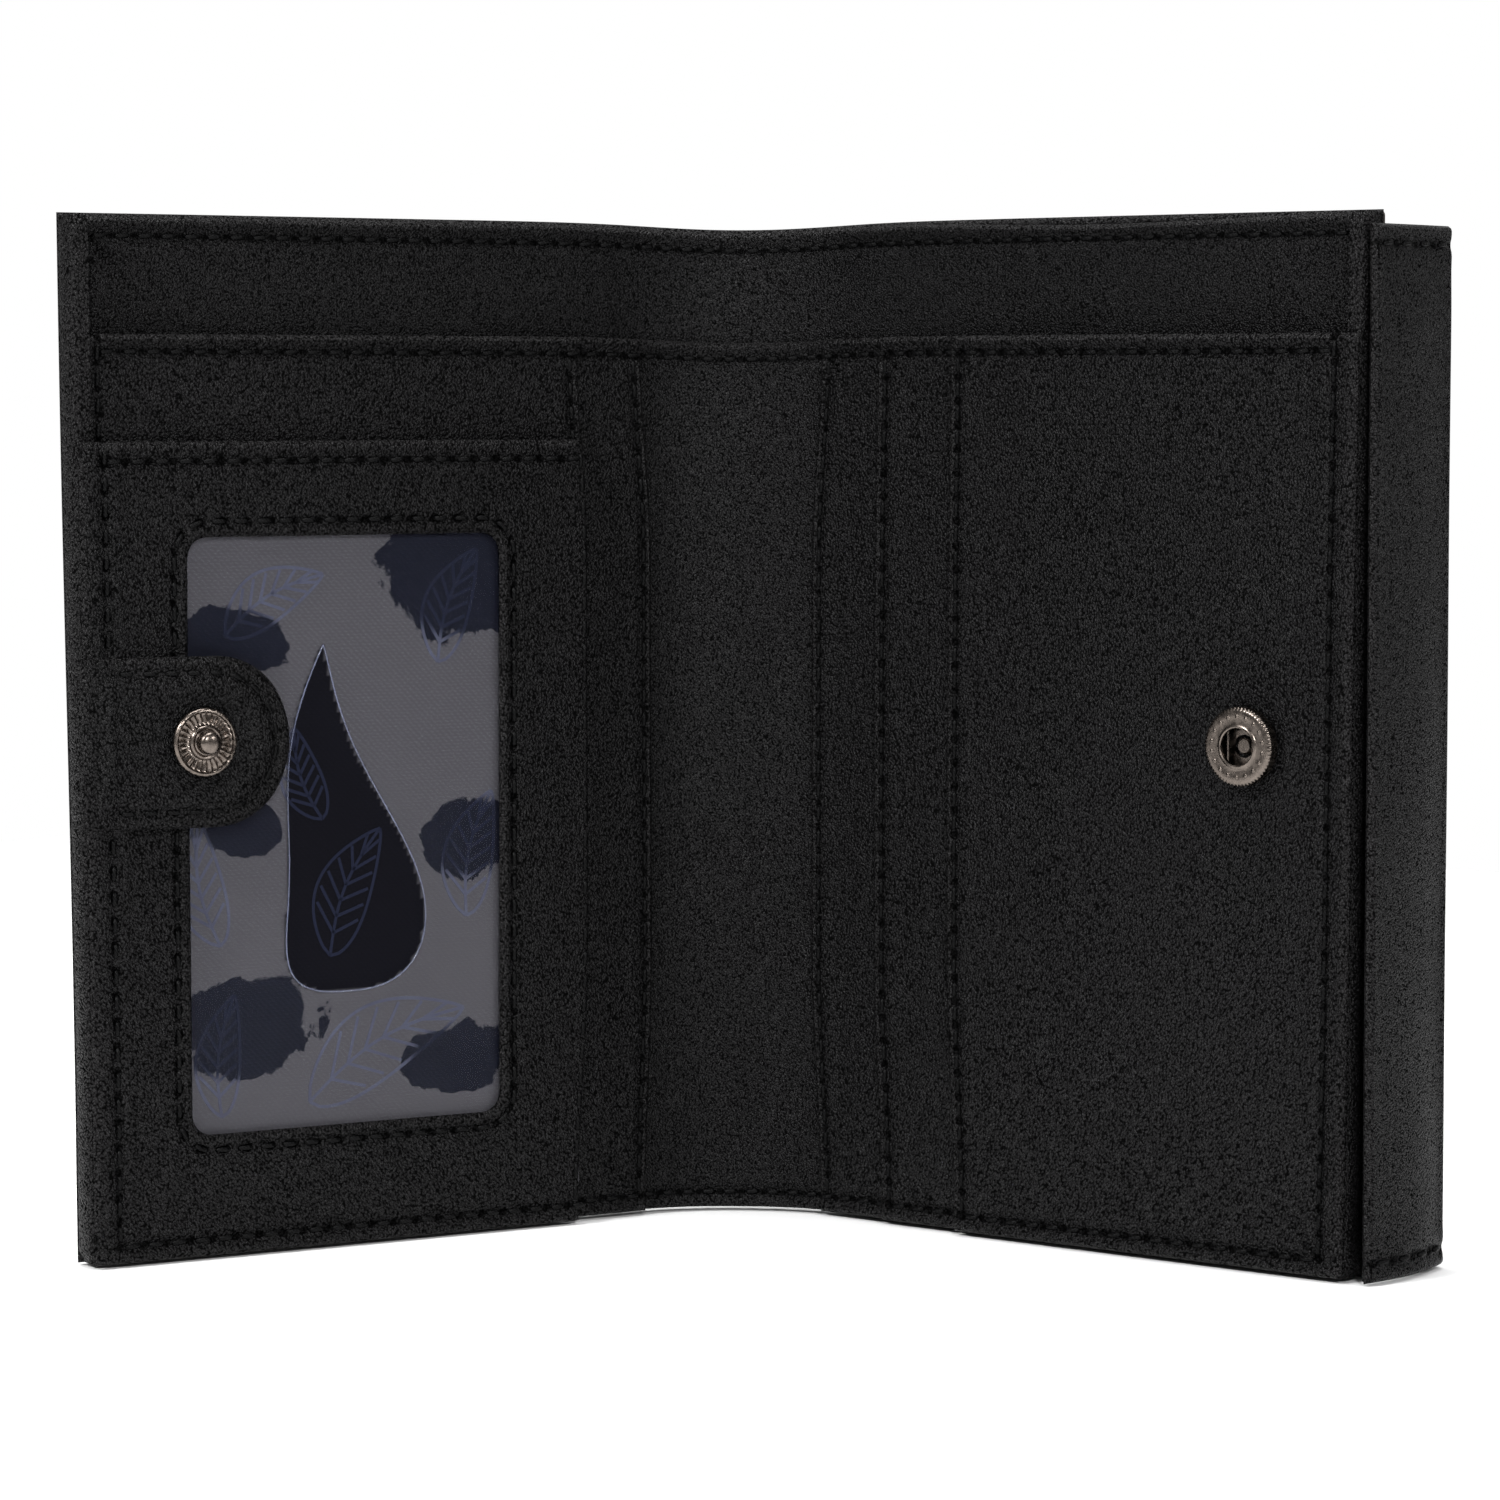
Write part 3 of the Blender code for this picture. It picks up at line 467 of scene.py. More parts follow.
def stitches(name, place, seams, level, finish, facing=1.0, pitch=PITCH):
    """Lock stitches along seams: each a short run of thread that dips in at both ends.

    A stitch's spine rises as 1 - t^4 along its length t from -1 to 1, it slants a little,
    and its round section narrows as sqrt(1 - t^6).
    """
    radius = settings().thread / 2
    rings, around = 7, 6
    t = np.linspace(-1, 1, rings)[None, :]
    points, faces, first = [], [], 0
    for upright, line, low, high in seams:
        count = max(int((high - low) / pitch), 1)
        centre = (low + (np.arange(count) + 0.5) * (high - low) / count)[:, None]
        along = centre + t * pitch * 0.36
        across = line(along) + 0.07 * MM * t
        s, z = (across, along) if upright else (along, across)
        at = (line(centre), centre) if upright else (centre, line(centre))
        mid = level(*at) if callable(level) else level
        depth = mid + facing * (0.10 * MM * (1 - t**4) - 0.22 * MM * t**4 - 0.06 * MM)
        spine = place(s, z, depth)
        normal = place(s, z, depth + facing * 0.1 * MM) - spine
        normal = normal / np.linalg.norm(normal, axis=-1, keepdims=True)
        forward = np.gradient(spine, axis=1)
        sideways = np.cross(forward, normal)
        sideways = sideways / np.linalg.norm(sideways, axis=-1, keepdims=True)
        turn = 2 * np.pi * np.arange(around) / around
        size = radius * np.sqrt(np.clip(1 - t**6, 0.02, 1))[..., None, None]
        ring = normal[:, :, None] * np.cos(turn)[:, None] + sideways[:, :, None] * np.sin(turn)[:, None]
        block = spine[:, :, None] + size * ring
        block[:, 0], block[:, -1] = spine[:, :1], spine[:, -1:]
        points.append(block.reshape(-1, 3))
        one = grid_faces(rings, around, 0, True)
        faces.append((one[None] + (first + np.arange(count) * rings * around)[:, None, None]).reshape(-1, 4))
        first += count * rings * around
    return build(name, np.concatenate(points), np.concatenate(faces), finish, "pebbled_leather", sharp=80.0)


def lathe(name, profile, centre, axis, finish, slot, steps=96, shape=None):
    """A turned piece: a closed profile of (radius, height) carried round an axis.

    shape(radius, angle, height) may change the height, as flutes and knurls do.
    """
    axis = np.asarray(axis, float) / np.linalg.norm(axis)
    up = np.array([0.0, 0.0, 1.0])
    side = np.cross(up, axis)
    side = side / np.linalg.norm(side)
    profile = np.asarray(profile, float)
    angle = (2 * np.pi * np.arange(steps) / steps)[None, :]
    radius, height = profile[:, :1] + 0 * angle, profile[:, 1:] + 0 * angle
    if shape is not None:
        radius, height = shape(radius, angle, height)
    across = radius[..., None] * (np.cos(angle)[..., None] * side + np.sin(angle)[..., None] * up)
    points = np.asarray(centre) + across + height[..., None] * axis
    faces = grid_faces(len(profile), steps, 0, True)
    return build(name, points.reshape(-1, 3), faces, finish, slot, sharp=34.0)


def tube(name, route, radius, finish, slot, around=8, close=False):
    """A round wire along a route of points, its section square to the route."""
    route = np.asarray(route, float)
    ahead = np.roll(route, -1, 0) - np.roll(route, 1, 0) if close else np.gradient(route, axis=0)
    ahead = ahead / np.linalg.norm(ahead, axis=1, keepdims=True)
    guide = np.array([0.13, 0.41, 0.9])
    side = np.cross(ahead, guide)
    side = side / np.linalg.norm(side, axis=1, keepdims=True)
    over = np.cross(side, ahead)
    turn = (2 * np.pi * np.arange(around) / around)[None, :, None]
    size = np.full(len(route), radius)
    if not close:
        size[[0, -1]] = 0.0
    spokes = np.cos(turn) * side[:, None] + np.sin(turn) * over[:, None]
    ring = route[:, None] + size[:, None, None] * spokes
    rows = len(route)
    if close:
        ring, rows = np.concatenate([ring, ring[:1]]), rows + 1
    return build(name, ring.reshape(-1, 3), grid_faces(rows, around, 0, True), finish, slot, sharp=60.0)


# ---- baking pieces in place ----------------------------------------------------------------
def across_fold(obj):
    """Bake a piece's placement into its mesh, as it lies in the open wallet."""
    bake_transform(obj)
    return obj


# ---- materials --------------------------------------------------------------------------------
def linear(hex_colour):
    """An sRGB hex colour as linear red, green, blue and a full alpha."""
    values = [int(hex_colour[i:i + 2], 16) / 255 for i in (0, 2, 4)]
    return [v / 12.92 if v <= 0.04045 else ((v + 0.055) / 1.055) ** 2.4 for v in values] + [1.0]


def node(tree, kind, inputs=None, **options):
    """Add a node with its settings; an input is a value or another node's output."""
    made = tree.nodes.new(kind)
    for key, value in options.items():
        setattr(made, key, value)
    for key, value in (inputs or {}).items():
        if isinstance(value, bpy.types.NodeSocket):
            tree.links.new(value, made.inputs[key])
        else:
            made.inputs[key].default_value = value
    return made


def new_material(name):
    """An empty node material with its Principled shader and object coordinates."""
    made = bpy.data.materials.new(name)
    made.use_nodes = True
    tree = made.node_tree
    tree.nodes.clear()
    shader = node(tree, "ShaderNodeBsdfPrincipled")
    node(tree, "ShaderNodeOutputMaterial", {"Surface": shader.outputs["BSDF"]})
    where = node(tree, "ShaderNodeTexCoord").outputs["Object"]
    return made, tree, shader, where


def wire(tree, socket, shader, name):
    """Link an output into one of the shader's sockets."""
    tree.links.new(socket, shader.inputs[name])


def needle_holes(tree):
    """Where the needle went in: 1 at each hole of a seam, falling to 0 round it.

    It is a bell curve of the distance across the seam times one of the distance along it.
    """
    across = node(tree, "ShaderNodeAttribute", attribute_name="seam").outputs["Fac"]
    count = node(tree, "ShaderNodeAttribute", attribute_name="stitch").outputs["Fac"]
    middle = node(tree, "ShaderNodeMath", {0: count, 1: 0.5}, operation="ADD").outputs[0]
    part = node(tree, "ShaderNodeMath", {0: middle}, operation="FRACT").outputs[0]
    along = node(tree, "ShaderNodeMath", {0: part, 1: 0.5}, operation="SUBTRACT").outputs[0]
    longer = node(tree, "ShaderNodeMath", {0: along, 1: PITCH / MM * 0.75}, operation="MULTIPLY").outputs[0]
    offset = node(tree, "ShaderNodeCombineXYZ", {"X": across, "Y": longer}).outputs[0]
    radius = node(tree, "ShaderNodeVectorMath", {0: offset}, operation="LENGTH").outputs["Value"]
    return node(tree, "ShaderNodeMapRange", {"Value": radius, "From Min": 0.62, "From Max": 0.15,
                                               "To Max": 0.8}, interpolation_type="SMOOTHSTEP").outputs[0]


def leather_material(name, grain, base, worn, gloss):
    """Polyurethane-coated leathercloth, embossed: small pebbles that each catch the light.

    The shine follows the pebbles' crowns and a finer fleck, so that the grain reads as a
    sparkle and not as a sheen. Rubbed edges are a little paler and smoother than the field.
    The valleys between the pebbles carry painted shade, and the needle holes are dimples
    with painted shade in them.
    """
    made, tree, shader, where = new_material(name)
    warp = node(tree, "ShaderNodeTexNoise", {"Vector": where, "Scale": 0.35 / grain, "Detail": 2.0})
    bent = node(tree, "ShaderNodeVectorMath", {0: warp.outputs["Color"]}, operation="SCALE")
    bent.inputs["Scale"].default_value = grain * 1.6
    moved = node(tree, "ShaderNodeVectorMath", {0: where, 1: bent.outputs[0]}, operation="ADD").outputs[0]
    pebble = node(tree, "ShaderNodeTexVoronoi", {"Vector": moved, "Scale": 1 / grain, "Smoothness": 0.4},
                  feature="SMOOTH_F1")
    crowns = node(tree, "ShaderNodeMapRange", {"Value": pebble.outputs["Distance"], "From Min": 0.1,
                                               "From Max": 0.75, "To Min": 1.0, "To Max": 0.0})
    fold = node(tree, "ShaderNodeTexNoise", {"Vector": where, "Scale": 0.13 / grain, "Detail": 4.0})
    height = node(tree, "ShaderNodeMath", {0: fold.outputs["Fac"], 1: 1.1, 2: crowns.outputs[0]},
                  operation="MULTIPLY_ADD")
    bump = node(tree, "ShaderNodeBump", {"Strength": 0.95, "Distance": grain * 0.5,
                                         "Height": height.outputs[0]})
    hole = needle_holes(tree)
    pit = node(tree, "ShaderNodeBump", {"Strength": 1.0, "Distance": 0.45 * MM, "Height": hole,
                                        "Normal": bump.outputs["Normal"]}, invert=True)
    edge = node(tree, "ShaderNodeAttribute", attribute_name="edge").outputs["Fac"]
    cloud = node(tree, "ShaderNodeTexNoise", {"Vector": where, "Scale": 1 / (9 * MM), "Detail": 3.0})
    rub = node(tree, "ShaderNodeMath", {0: cloud.outputs["Fac"], 1: edge}, operation="MULTIPLY")
    tint = node(tree, "ShaderNodeMix", {"Factor": rub.outputs[0], "A": linear(base), "B": linear(worn)},
                data_type="RGBA")
    # painted shade: the base colour is darkened towards 060606 in the valleys between the pebbles
    painted_valley_shade = node(tree, "ShaderNodeMix", {"Factor": crowns.outputs[0], "A": linear("060606"),
                                         "B": tint.outputs["Result"]}, data_type="RGBA")
    # painted shade: each needle hole is darkened towards 020202
    dark = node(tree, "ShaderNodeMix", {"Factor": hole, "A": painted_valley_shade.outputs["Result"], "B": linear("020202")},
                data_type="RGBA")
    rough = node(tree, "ShaderNodeMapRange", {"Value": cloud.outputs["Fac"], "From Min": 0.3, "From Max": 0.7,
                                              "To Min": gloss - 0.05, "To Max": gloss + 0.06})
    smoother = node(tree, "ShaderNodeMath", {0: edge, 1: -0.06, 2: rough.outputs[0]},
                    operation="MULTIPLY_ADD")
    fleck = node(tree, "ShaderNodeTexNoise", {"Vector": where, "Scale": 0.42 / grain, "Detail": 2.0})
    glint = node(tree, "ShaderNodeMapRange", {"Value": fleck.outputs["Fac"], "From Min": 0.36,
                                              "From Max": 0.66, "To Min": 0.85, "To Max": 1.35})
    rubbed = node(tree, "ShaderNodeMath", {0: crowns.outputs[0], 1: glint.outputs[0]}, operation="MULTIPLY")
    unpierced = node(tree, "ShaderNodeMath", {0: hole, 1: -LEATHER_SHINE, 2: LEATHER_SHINE},
                     operation="MULTIPLY_ADD")
    shine = node(tree, "ShaderNodeMath", {0: rubbed.outputs[0], 1: unpierced.outputs[0]},
                 operation="MULTIPLY")
    wire(tree, dark.outputs["Result"], shader, "Base Color")
    wire(tree, smoother.outputs[0], shader, "Roughness")
    wire(tree, shine.outputs[0], shader, "Specular IOR Level")
    wire(tree, pit.outputs["Normal"], shader, "Normal")
    return made


def thread_material():
    """Bonded polyester thread: black, with a faint silky twist."""
    made, tree, shader, where = new_material("bonded_polyester_thread")
    twist = node(tree, "ShaderNodeTexWave", {"Vector": where, "Scale": 1 / (0.9 * MM), "Distortion": 1.5},
                 bands_direction="DIAGONAL")
    bump = node(tree, "ShaderNodeBump", {"Strength": 0.4, "Distance": 0.05 * MM,
                                         "Height": twist.outputs["Fac"]})
    tint = node(tree, "ShaderNodeMix", {"Factor": twist.outputs["Fac"], "A": linear("020202"),
                                        "B": linear("0b0b0c")}, data_type="RGBA")
    wire(tree, tint.outputs["Result"], shader, "Base Color")
    wire(tree, bump.outputs["Normal"], shader, "Normal")
    shader.inputs["Roughness"].default_value = 0.42
    shader.inputs["Specular IOR Level"].default_value = 0.08
    return made


def metal_material():
    """Zinc and brass pressings plated in black nickel: warm grey, polished, lightly handled."""
    made, tree, shader, where = new_material("black_nickel_plate")
    haze = node(tree, "ShaderNodeTexNoise", {"Vector": where, "Scale": 1 / (0.8 * MM), "Detail": 4.0})
    rough = node(tree, "ShaderNodeMapRange", {"Value": haze.outputs["Fac"], "From Min": 0.3, "From Max": 0.7,
                                              "To Min": 0.2, "To Max": 0.34})
    tint = node(tree, "ShaderNodeMix", {"Factor": haze.outputs["Fac"], "A": linear("403b38"),
                                        "B": linear(settings().metal)}, data_type="RGBA")
    bump = node(tree, "ShaderNodeBump", {"Strength": 0.12, "Distance": 0.03 * MM,
                                         "Height": haze.outputs["Fac"]})
    wire(tree, tint.outputs["Result"], shader, "Base Color")
    wire(tree, rough.outputs[0], shader, "Roughness")
    wire(tree, bump.outputs["Normal"], shader, "Normal")
    shader.inputs["Metallic"].default_value = 1.0
    return made


def weave(tree, where, pitch, turn):
    """Diagonal ribs of a twill: two crossed waves, one of them finer."""
    placed = node(tree, "ShaderNodeMapping", {"Vector": where, "Rotation": turn}).outputs[0]
    ribs = node(tree, "ShaderNodeTexWave", {"Vector": placed, "Scale": 0.32 / pitch, "Distortion": 0.4},
                bands_direction="DIAGONAL")
    yarn = node(tree, "ShaderNodeTexWave", {"Vector": placed, "Scale": 0.32 / pitch}, bands_direction="Z")
    return node(tree, "ShaderNodeMath", {0: ribs.outputs["Fac"], 1: yarn.outputs["Fac"]},
                operation="MULTIPLY")


def printed_material():
    """Printed polyester twill: a mid grey ground with ragged navy patches, and painted shade that darkens it
    in the cut-out.
    """
    made, tree, shader, where = new_material("printed_twill")
    ribs = weave(tree, where, 0.42 * MM, (0.0, 0.0, -2 * FOLD))
    blot = node(tree, "ShaderNodeTexNoise", {"Vector": where, "Scale": 1 / (11 * MM), "Detail": 9.0,
                                             "Roughness": 0.62, "Distortion": 0.5})
    patch = node(tree, "ShaderNodeAttribute", attribute_name="patch").outputs["Fac"]
    mixed = node(tree, "ShaderNodeMath", {0: blot.outputs["Fac"], 1: 1.3, 2: patch}, operation="MULTIPLY_ADD")
    mask = node(tree, "ShaderNodeMapRange", {"Value": mixed.outputs[0], "From Min": 1.135, "From Max": 1.165})
    ground = node(tree, "ShaderNodeMix", {"Factor": mask.outputs[0], "A": linear(settings().cloth),
                                          "B": linear(settings().patches)}, data_type="RGBA")
    # painted shade: inside the film's cut-out the cloth is darkened towards 0b0b12
    ink = node(tree, "ShaderNodeAttribute", attribute_name="ink").outputs["Fac"]
    deep = node(tree, "ShaderNodeMix", {"Factor": ink, "A": ground.outputs["Result"],
                                        "B": linear("0b0b12")}, data_type="RGBA")
    tone = node(tree, "ShaderNodeMix", {"Factor": 0.22, "A": deep.outputs["Result"], "B": ribs.outputs[0]},
                data_type="RGBA", blend_type="MULTIPLY")
    bump = node(tree, "ShaderNodeBump", {"Strength": 0.2, "Distance": 0.04 * MM, "Height": ribs.outputs[0]})
    wire(tree, tone.outputs["Result"], shader, "Base Color")
    wire(tree, bump.outputs["Normal"], shader, "Normal")
    shader.inputs["Roughness"].default_value = 0.72
    shader.inputs["Specular IOR Level"].default_value = CLOTH_SHINE
    return made


def cloth_material(name, base, pitch):
    """Woven polyester of tapes and linings: matte, with the weave's small ribs."""
    made, tree, shader, where = new_material(name)
    ribs = weave(tree, where, pitch, (0.0, 0.0, 0.0))
    tint = node(tree, "ShaderNodeMix", {"Factor": ribs.outputs[0], "A": linear("0b0b0d"), "B": linear(base)},
                data_type="RGBA")
    bump = node(tree, "ShaderNodeBump", {"Strength": 0.5, "Distance": 0.08 * MM, "Height": ribs.outputs[0]})
    wire(tree, tint.outputs["Result"], shader, "Base Color")
    wire(tree, bump.outputs["Normal"], shader, "Normal")
    shader.inputs["Roughness"].default_value = 0.85
    shader.inputs["Specular IOR Level"].default_value = CLOTH_SHINE
    return made


def line_material():
    """Discharge-printed line work: a thin pale blue-grey ink on the cloth."""
    made, tree, shader, where = new_material("printed_line_ink")
    fade = node(tree, "ShaderNodeTexNoise", {"Vector": where, "Scale": 1 / (6 * MM), "Detail": 3.0})
    tint = node(tree, "ShaderNodeMix", {"Factor": fade.outputs["Fac"], "A": linear("383a49"),
                                        "B": linear("535667")}, data_type="RGBA")
    # darker where the lines cross the navy patches, which is print, and inside the film's cut-out, which is
    # painted shade
    ink = node(tree, "ShaderNodeAttribute", attribute_name="ink").outputs["Fac"]
    deep = node(tree, "ShaderNodeMix", {"Factor": ink, "A": tint.outputs["Result"], "B": linear("1a1d2c")},
                data_type="RGBA")
    wire(tree, deep.outputs["Result"], shader, "Base Color")
    shader.inputs["Roughness"].default_value = 0.75
    shader.inputs["Specular IOR Level"].default_value = CLOTH_SHINE
    return made


def vinyl_material(name, alpha, base):
    """Clear calendered vinyl: glossy, faintly cloudy, with slow ripples in its reflections."""
    made, tree, shader, where = new_material(name)
    ripple = node(tree, "ShaderNodeTexNoise", {"Vector": where, "Scale": 1 / (14 * MM), "Detail": 2.0})
    bump = node(tree, "ShaderNodeBump", {"Strength": 0.25, "Distance": 0.5 * MM,
                                         "Height": ripple.outputs["Fac"]})
    tint = node(tree, "ShaderNodeMix", {"Factor": ripple.outputs["Fac"], "A": linear(base),
                                        "B": linear("44464e")}, data_type="RGBA")
    wire(tree, tint.outputs["Result"], shader, "Base Color")
    wire(tree, bump.outputs["Normal"], shader, "Normal")
    shader.inputs["Roughness"].default_value = 0.12
    shader.inputs["IOR"].default_value = 1.53
    shader.inputs["Alpha"].default_value = alpha
    return made


def floor_material():
    """Matte white studio paper."""
    made, tree, shader, where = new_material("studio_paper")
    fibre = node(tree, "ShaderNodeTexNoise", {"Vector": where, "Scale": 400.0})
    bump = node(tree, "ShaderNodeBump", {"Strength": 0.02, "Distance": 0.2 * MM,
                                         "Height": fibre.outputs["Fac"]})
    wire(tree, bump.outputs["Normal"], shader, "Normal")
    shader.inputs["Base Color"].default_value = (*settings().paper, 1.0)
    shader.inputs["Roughness"].default_value = 0.9
    return made


FINISHES = {}


def finish(name):
    """A material by its short name, made the first time that it is asked for."""
    makers = {
        "leather": lambda: leather_material("embossed_leathercloth", settings().grain, settings().leather,
                                            settings().worn, 0.47),
        "lining": lambda: leather_material("smooth_leathercloth", settings().grain * 0.8, settings().leather,
                                           settings().worn, 0.43),
        "thread": thread_material,
        "metal": metal_material,
        "printed": printed_material,
        "line": line_material,
        "tape": lambda: cloth_material("zip_tape_cloth", "1c1c20", 0.5 * MM),
        "pocketing": lambda: cloth_material("pocketing_cloth", "2a2a31", 0.4 * MM),
        "vinyl": lambda: vinyl_material("clear_vinyl", 0.03, "2c2d33"),
        # painted highlight: the cut edge is a pale blue-grey, half-opaque vinyl that stands in for the light
        # its edge catches
        "cut": lambda: vinyl_material("cut_vinyl_edge_painted_highlight", 0.5, "848cae"),
        "paper": floor_material,
    }
    if name not in FINISHES:
        FINISHES[name] = makers[name]()
    return FINISHES[name]


# ---- seams ------------------------------------------------------------------------------------------
COVER_LEFT = (True, inset_from(cover_edge, EDGE_SEAM), FOOT_SEAM, HEIGHT - HEM)
MIDDLE_RIGHT = (True, inset_from(middle_edge, EDGE_SEAM), FOOT_SEAM, HEIGHT - HEM)
COVER_RUN = (FREE_COVER + EDGE_SEAM, SPLIT)
MIDDLE_RUN = (SPLIT, LEAF - EDGE_SEAM)
COVER_TOP = (False, constant(HEIGHT - HEM), *COVER_RUN)
MIDDLE_TOP = (False, constant(HEIGHT - HEM), *MIDDLE_RUN)
COVER_FOOT = (False, constant(FOOT_SEAM), COVER_RUN[0] + TAPER, COVER_RUN[1])
MIDDLE_FOOT = (False, constant(FOOT_SEAM), MIDDLE_RUN[0], MIDDLE_RUN[1] - TAPER)
COVER_LIP = (False, constant(BILL_TOP - LIP_SEAM), *COVER_RUN)
MIDDLE_LIP = (False, constant(BILL_TOP - LIP_SEAM), *MIDDLE_RUN)
MOUTH_SEAMS = {
    key: (True, shifted(edge, MOUTH_SEAM if key in "cde" else -MOUTH_SEAM), FOOT_SEAM, BILL_TOP - LIP_SEAM)
    for key, edge in MOUTHS.items()
}
ID_SEAM = (False, constant(ID_TOP - LIP_SEAM - 0.3 * MM), FREE_COVER + EDGE_SEAM, -SPINE - 16.6 * MM)


# ---- operators ---------------------------------------------------------------------------------------
class WALLET_OT_stage(bpy.types.Operator):
    """Add the floor, the soft lights and the camera."""

    bl_idname = "wallet.stage"
    bl_label = "Stage"

    def execute(self, context):
        """Build the stage."""
        scene = context.scene
        scene.view_settings.view_transform = "Standard"
        bpy.ops.mesh.primitive_plane_add(size=FLOOR_SIZE, location=(0, 0, -0.0003))
        floor = context.active_object
        floor.name = "studio_floor"
        floor.data.materials.append(finish("paper"))
        right = Vector((math.cos(VIEW_TURN), math.sin(VIEW_TURN), 0.0))
        ahead = Vector((-math.sin(VIEW_TURN), math.cos(VIEW_TURN), 0.0))
        self.add_world(scene, ahead)
        for name, across, away, up, size, power in SOFTBOXES:
            data = bpy.data.lights.new(name, "AREA")
            data.size = size
            data.energy = power
            lamp = bpy.data.objects.new(name, data)
            lamp.location = SPINE_MIDDLE + right * across + ahead * away + Vector((0, 0, up))
            aim = SPINE_MIDDLE + Vector((0, 0, HEIGHT / 2)) - lamp.location
            lamp.rotation_euler = aim.to_track_quat("-Z", "Y").to_euler()
            scene.collection.objects.link(lamp)
        data = bpy.data.cameras.new("camera")
        data.lens = LENS
        camera = bpy.data.objects.new("camera", data)
        camera.location = SPINE_MIDDLE + right * VIEW_ACROSS - ahead * VIEW_BACK + Vector((0, 0, VIEW_UP))
        camera.rotation_euler = (math.pi / 2 - VIEW_DOWN, 0.0, VIEW_TURN)
        scene.collection.objects.link(camera)
        scene.camera = camera
        return {"FINISHED"}

    def add_world(self, scene, ahead):
        """A studio that is white behind the wallet and grey round the rest of the room."""
        world = bpy.data.worlds.new("studio")
        scene.world = world
        world.use_nodes = True
        tree = world.node_tree
        way = node(tree, "ShaderNodeTexCoord").outputs["Generated"]
        facing = node(tree, "ShaderNodeVectorMath", {0: way, 1: tuple(ahead)}, operation="DOT_PRODUCT")
        strength = node(tree, "ShaderNodeMapRange", {"Value": facing.outputs["Value"], "From Min": 0.8,
                                                     "From Max": 0.965, "To Min": 0.22, "To Max": 1.0},
                        interpolation_type="SMOOTHSTEP")
        background = tree.nodes["Background"]
        background.inputs["Color"].default_value = (1.0, 1.0, 1.0, 1.0)
        tree.links.new(strength.outputs[0], background.inputs["Strength"])


class WALLET_OT_outer_leather(bpy.types.Operator):
    """Add the outer leather, which runs over both leaves and the spine, and its edges."""

    bl_idname = "wallet.outer_leather"
    bl_label = "Outer leather"

    def execute(self, context):
        """Build the cover's half, the middle leaf's half and their turned borders."""
        leather = finish("leather")
        heights = (0.0, HEIGHT)
        cover = sheet("cover_outer_leather", on_wallet, cover_edge, constant(SPLIT), heights, DEPTH["skin"],
                      leather, "pebbled_leather", (COVER_LEFT, COVER_TOP, COVER_FOOT), "ltb", 0.8 * MM)
        middle = sheet("middle_outer_leather", on_wallet, constant(SPLIT), middle_edge, heights,
                       DEPTH["skin"], leather, "pebbled_leather",
                       (MIDDLE_RIGHT, MIDDLE_TOP, MIDDLE_FOOT), "rtb", 0.8 * MM)
        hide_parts("cover_outer_panel")
        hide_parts("middle_outer_panel", "spine_outer_panel")
        across_fold(cover)
        across_fold(middle)
        low = (0.15 * MM, HEIGHT - 0.15 * MM)
        cover_rim = rim("cover_turned_edge", on_wallet, cover_edge, -1, low, (0.1 * MM, 4.7 * MM), leather,
                        "pebbled_leather")
        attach(cover_rim, "cover_leaf")
        middle_rim = rim("middle_turned_edge", on_wallet, middle_edge, 1, low, (0.1 * MM, 4.3 * MM), leather,
                         "pebbled_leather")
        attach(middle_rim, "middle_leaf")
        return {"FINISHED"}


class WALLET_OT_bill_compartment(bpy.types.Operator):
    """Add the bill compartment's lining and its wall, in two halves that meet on the spine."""

    bl_idname = "wallet.bill_compartment"
    bl_label = "Bill compartment"

    def execute(self, context):
        """Build lining and wall for each half."""
        lining = finish("lining")

        def slack(s):
            """Top of the lining, which sags by 0.6 mm as sin^2 along the middle leaf."""
            return HEIGHT - 0.4 * MM - 0.6 * MM * np.sin(np.pi * np.clip((s - 0.012) / 0.07, 0, 1)) ** 2

        low = 0.3 * MM
        for side, left, right, rolls, seams, nodes in (
            ("cover", inset_from(cover_edge, 0.5 * MM), constant(SPLIT), "ltb",
             (COVER_LEFT, COVER_TOP, COVER_FOOT), ("cover_bill_lining",)),
            ("middle", constant(SPLIT), inset_from(middle_edge, 0.5 * MM), "rtb",
             (MIDDLE_RIGHT, MIDDLE_TOP, MIDDLE_FOOT), ("middle_bill_lining", "spine_bill_lining")),
        ):
            back = sheet(f"{side}_bill_lining_leather", on_wallet, left, right, (low, HEIGHT - 0.4 * MM),
                         DEPTH["lining"], lining, "lining_leather", seams, rolls,
                         top=slack if side == "middle" else None)
            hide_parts(*nodes)
            across_fold(back)
        for side, left, right, rolls, seams, nodes in (
            ("cover", inset_from(cover_edge, 0.4 * MM), constant(SPLIT), "ltb",
             (COVER_LEFT, COVER_LIP, COVER_FOOT), ("cover_bill_wall",)),
            ("middle", constant(SPLIT), inset_from(middle_edge, 0.4 * MM), "rtb",
             (MIDDLE_RIGHT, MIDDLE_LIP, MIDDLE_FOOT), ("middle_bill_wall", "spine_bill_wall")),
        ):
            wall = sheet(f"{side}_bill_wall_leather", on_wallet, left, right, (low, BILL_TOP), DEPTH["wall"],
                         lining, "lining_leather", seams, rolls)
            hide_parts(*nodes)
            across_fold(wall)
        return {"FINISHED"}


